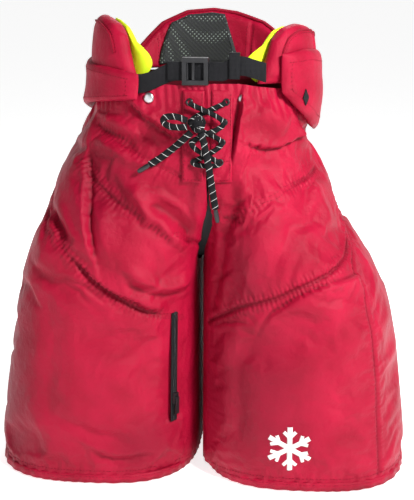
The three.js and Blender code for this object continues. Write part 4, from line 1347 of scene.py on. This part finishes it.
def laced_fly():
    """Lace from eyelet to eyelet down and back up, and the knot with its one bow loop."""
    route = [eyelet_spot(1 if k % 2 == 0 else -1, k, LACE_NEAR) for k in range(4)]
    route += [eyelet_spot(-1 if k % 2 == 0 else 1, k, LACE_FAR) for k in range(3, -1, -1)]
    crossings = swept("lace_zigzag", spline(route, 2.0), 6.0, 3.4, LACE)
    bow = swept("lace_bow", spline(BOW_ROUTE, 2.0), 7.6, 3.0, LACE)
    turns = np.linspace(0, 2.6, 60)
    x, y, z = KNOT_CENTRE
    wraps = np.stack([
        x + 6.2 * np.cos(turns * TAU) * (1 - 0.10 * turns), y + 3.4 * np.sin(turns * TAU * 2 + 0.6),
        z + 6.6 * np.sin(turns * TAU),
    ], -1)
    knot = swept("lace_knot_wraps", resample(wraps, 1.6), 7.0, 4.0, LACE)
    core = lathe("lace_knot_core", KNOT_CORE, KNOT_CENTRE, (0, -1, 0), LACE, 24)
    ride_all("hips", "black_webbing", crossings, bow, knot, core)
    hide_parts("lace_crossings")
    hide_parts("lace_bow_loop")
    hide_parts("lace_knot")


fly_tongue()
for word, side in SIDES:
    fly_placket(word, side)
for word, side in SIDES:
    for k in range(4):
        eyelet(word, side, k)
laced_fly()

# ---------------------------------------------------------------- belt, buckle and keeper
BELT_Z = 503.0
BELT_LEFT_Y, BELT_RIGHT_Y = -96.65, -98.95
WEBBING_PROFILE = [
    (-1, 0), (-0.96, 0.5), (-0.85, 0.5), (0, 0.42), (0.85, 0.5), (0.96, 0.5), (1, 0), (0.96, -0.5),
    (-0.96, -0.5),
]
BUCKLE_X, BUCKLE_Y = -1.0, -97.8


def webbing(name, path, half_height, thickness, material):
    """Flat strap along a path, with rounded edges."""
    out = np.cross(unit(np.gradient(path, axis=0)), (0, 0, 1.0))
    out *= np.where(out[:, 1:2] > 0, -1, 1)
    rings = []
    for up, forward in WEBBING_PROFILE:
        rings.append(path + np.array([0, 0, half_height * up]) + out * thickness * forward)
    points = np.stack(rings, 1)
    obj = mesh_object(name, points, tube_faces(len(path), len(WEBBING_PROFILE)), material)
    fix_normals(obj)
    return obj


def belt_half(word, body, x, rise, y, stride):
    """One half of the belt. Every stride-th point of its route is kept before it is smoothed."""
    route = np.stack([x, np.full(len(x), y), BELT_Z + rise], -1)
    strap = webbing(f"belt_webbing_{word}", spline(route[::stride], 2.0), 11, 1.5, WEBBING)
    ride_all(body, "black_webbing", strap)
    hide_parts(f"belt_{word}")


def bevelled(name, boxes, material, bevel):
    """Moulded piece joined from blocks, with rounded edges. Each box is x0, x1, y0, y1, z0, z1."""
    parts = []
    for k, (x0, x1, y0, y1, z0, z1) in enumerate(boxes):
        points = [(x, y, z) for x in (x0, x1) for y in (y0, y1) for z in (z0, z1)]
        parts.append(mesh_object(f"{name}_block_{k}", points, BOX_FACES, material))
    body = parts[0]
    for part in parts[1:]:
        apply_modifier(body, "BOOLEAN", operation="UNION", object=part)
    for part in parts[1:]:
        bpy.data.objects.remove(part)
    body.name = name
    apply_modifier(body, "BEVEL", width=bevel * MM, segments=3, limit_method="ANGLE")
    fix_normals(body)
    return body


def moulded_buckle():
    """Front frame and back plate, joined by rails above and below the belt, and its two upright bars."""
    left, right = BUCKLE_X - 15, BUCKLE_X + 15
    front, front_inside, back_inside, back = BUCKLE_Y - 5.5, BUCKLE_Y - 2.9, BUCKLE_Y + 2.9, BUCKLE_Y + 5.5
    low, high = 487.5, 518.5
    buckle = bevelled("buckle_moulding", [
        (left, right, front, front_inside, 513.0, high),
        (left, right, front, front_inside, low, 493.0),
        (left, left + 5, front, front_inside, 488.0, 518.0),
        (right - 5, right, front, front_inside, 488.0, 518.0),
        (left, right, back_inside, back, low, high),
        (left, right, front, back, 515.2, high),
        (left, right, front, back, low, 490.8),
    ], PLASTIC, 0.7)
    bars = bevelled("buckle_bars", [
        (BUCKLE_X - 3.6, BUCKLE_X - 0.6, BUCKLE_Y - 5.6, front_inside, 493.3, 512.7),
        (BUCKLE_X - 9.8, BUCKLE_X - 8.2, BUCKLE_Y - 4.4, BUCKLE_Y - 3.0, 493.3, 512.7),
    ], PLASTIC, 0.5)
    ride_all("hips", "black_plastic", buckle, bars)
    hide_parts("buckle_frame")
    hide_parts("buckle_bar")


def belt_keeper():
    """Loop that holds the free end of the belt."""
    left, right, front, back, low, high = 38, 50, -102.1, -95.8, 494.5, 524.5
    keeper = bevelled("keeper_loop", [
        (left, right, front, -100.2, low, high), (left, right, -97.7, back, low, high),
        (left, right, front, back, 522.2, high), (left, right, front, back, low, 496.8),
    ], WEBBING, 0.6)
    ride_all("belt_strap", "black_webbing", keeper)
    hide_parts("belt_keeper")


belt_x = np.linspace(-78, -9, 40)
belt_half("left", "hips", belt_x, -15 * smooth(-20, -66, belt_x), BELT_LEFT_Y, 3)
belt_x = np.linspace(-33, 86, 60)
belt_rise = np.interp(belt_x, [-33, 32, 44, 56, 86], [0, 0, 6, 6, -3])
belt_half("right", "belt_strap", belt_x, belt_rise, BELT_RIGHT_Y, 4)
moulded_buckle()
belt_keeper()

# ---------------------------------------------------------------- suspender buttons
DOME = [
    (2.6, 0.0), (2.6, 2.2), (5.8, 2.4), (6.3, 2.9), (6.1, 3.5), (5.2, 4.3), (3.6, 4.9), (1.9, 5.2),
    (0.4, 5.3),
]
FRONT_BUTTON_X, FRONT_BUTTON_Z = 54, 472
SIDE_BUTTON_U, SIDE_BUTTON_V = 0.376, 0.46


def button(name, node, body, place, out):
    dome = lathe(name, DOME, place, out, SILVER)
    ride_all(body, "silver", dome)
    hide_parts(node)


for word, side in SIDES:
    place = front_point(side * FRONT_BUTTON_X, FRONT_BUTTON_Z, 0.7)
    beside = front_point(side * (FRONT_BUTTON_X + 1), FRONT_BUTTON_Z, 0.7) - place
    out = (side * beside[1], -side * beside[0], 0)
    button(f"button_front_{word}", f"suspender_button_front_{word}", "hips", place, out)
    on_guard = partial(kidney_point, side, np.array(SIDE_BUTTON_U), np.array(SIDE_BUTTON_V))
    place = on_guard(-0.6)
    out = on_guard(-10) - place
    button(f"button_side_{word}", f"suspender_button_side_{word}", f"kidney_guard_{word}", place, out)


# ---------------------------------------------------------------- crotch gusset
def gusset_layer(radius):
    """Dark cloth between the legs, from the fly under the crotch to the seat."""
    angle, across = np.meshgrid(np.linspace(-0.02, math.pi + 0.02, 40), np.linspace(-26, 26, 16))
    upright = np.abs(np.cos(angle)) ** 3
    bent = radius - 14 * upright + 0.5 * np.sin(angle * 14)
    shift = 14 * smooth(0.2, 1.0, np.cos(angle))
    return np.stack([across + shift, -bent * np.cos(angle), HIP_AXIS_Z - bent * np.sin(angle)], -1)


gusset = closed_shell("crotch_mesh", gusset_layer(121), gusset_layer(117.5), WAIST_LINING)
ride_all("hips", "black_mesh", gusset)
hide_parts("crotch_gusset")

# ---------------------------------------------------------------- zip on the inner front of the left leg
ZIP_TURN = 0.5 - 0.118
ZIP_LOW_Z, ZIP_HIGH_Z, ZIP_PROUD = 74, 214, 1.1
TOOTH_PITCH, TOOTH_HEIGHT = 2, 1.1


def zip_point(z, turn=ZIP_TURN):
    return leg_point(np.array(turn), np.array(float(z)), -ZIP_PROUD) * (-1, 1, 1)


zip_foot = zip_point(ZIP_LOW_Z)
zip_length = np.linalg.norm(zip_point(ZIP_HIGH_Z) - zip_foot)
zip_up = (zip_point(ZIP_HIGH_Z) - zip_foot) / zip_length
zip_out = unit(np.cross(zip_point(ZIP_LOW_Z, ZIP_TURN + 0.01) - zip_foot, zip_up))
zip_out = zip_out if zip_out[1] < 0 else -zip_out
zip_across = np.cross(zip_up, zip_out)


def zip_box(x_ends, y_ends, z_ends):
    """Corners of a block: x across the zip, y out of the cloth, z up from the foot of the zip."""
    corners = []
    for x in x_ends:
        for y in y_ends:
            corners += [zip_foot + zip_across * x + zip_out * y + zip_up * z for z in z_ends]
    return corners


def zip_teeth():
    """Two rows of teeth, half a pitch apart."""
    points, faces = [], []
    for k in range(int(zip_length / TOOTH_PITCH)):
        for edge, shift in ((-1, 0), (1, TOOTH_PITCH / 2)):
            z = 1 + TOOTH_PITCH * k + shift
            faces += [tuple(len(points) + i for i in quad) for quad in BOX_FACES]
            points += zip_box((0.1 * edge, 1.9 * edge), (0.5, 1.3), (z, z + TOOTH_HEIGHT))
    teeth = mesh_object("zip_teeth", points, faces, PLASTIC)
    fix_normals(teeth)
    return teeth


tape = mesh_object("zip_webbing", zip_box((-5.5, 5.5), (-0.6, 0.5), (0, zip_length)), BOX_FACES, WEBBING)
apply_modifier(tape, "BEVEL", width=0.25 * MM, segments=2)
fix_normals(tape)
ride_all("leg_left", "black_webbing", tape, zip_teeth())
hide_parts("zip_tape")
for node in ("zip_slider", "zip_pull"):
    for slot in bpy.data.objects[node].material_slots:
        slot.material = PLASTIC
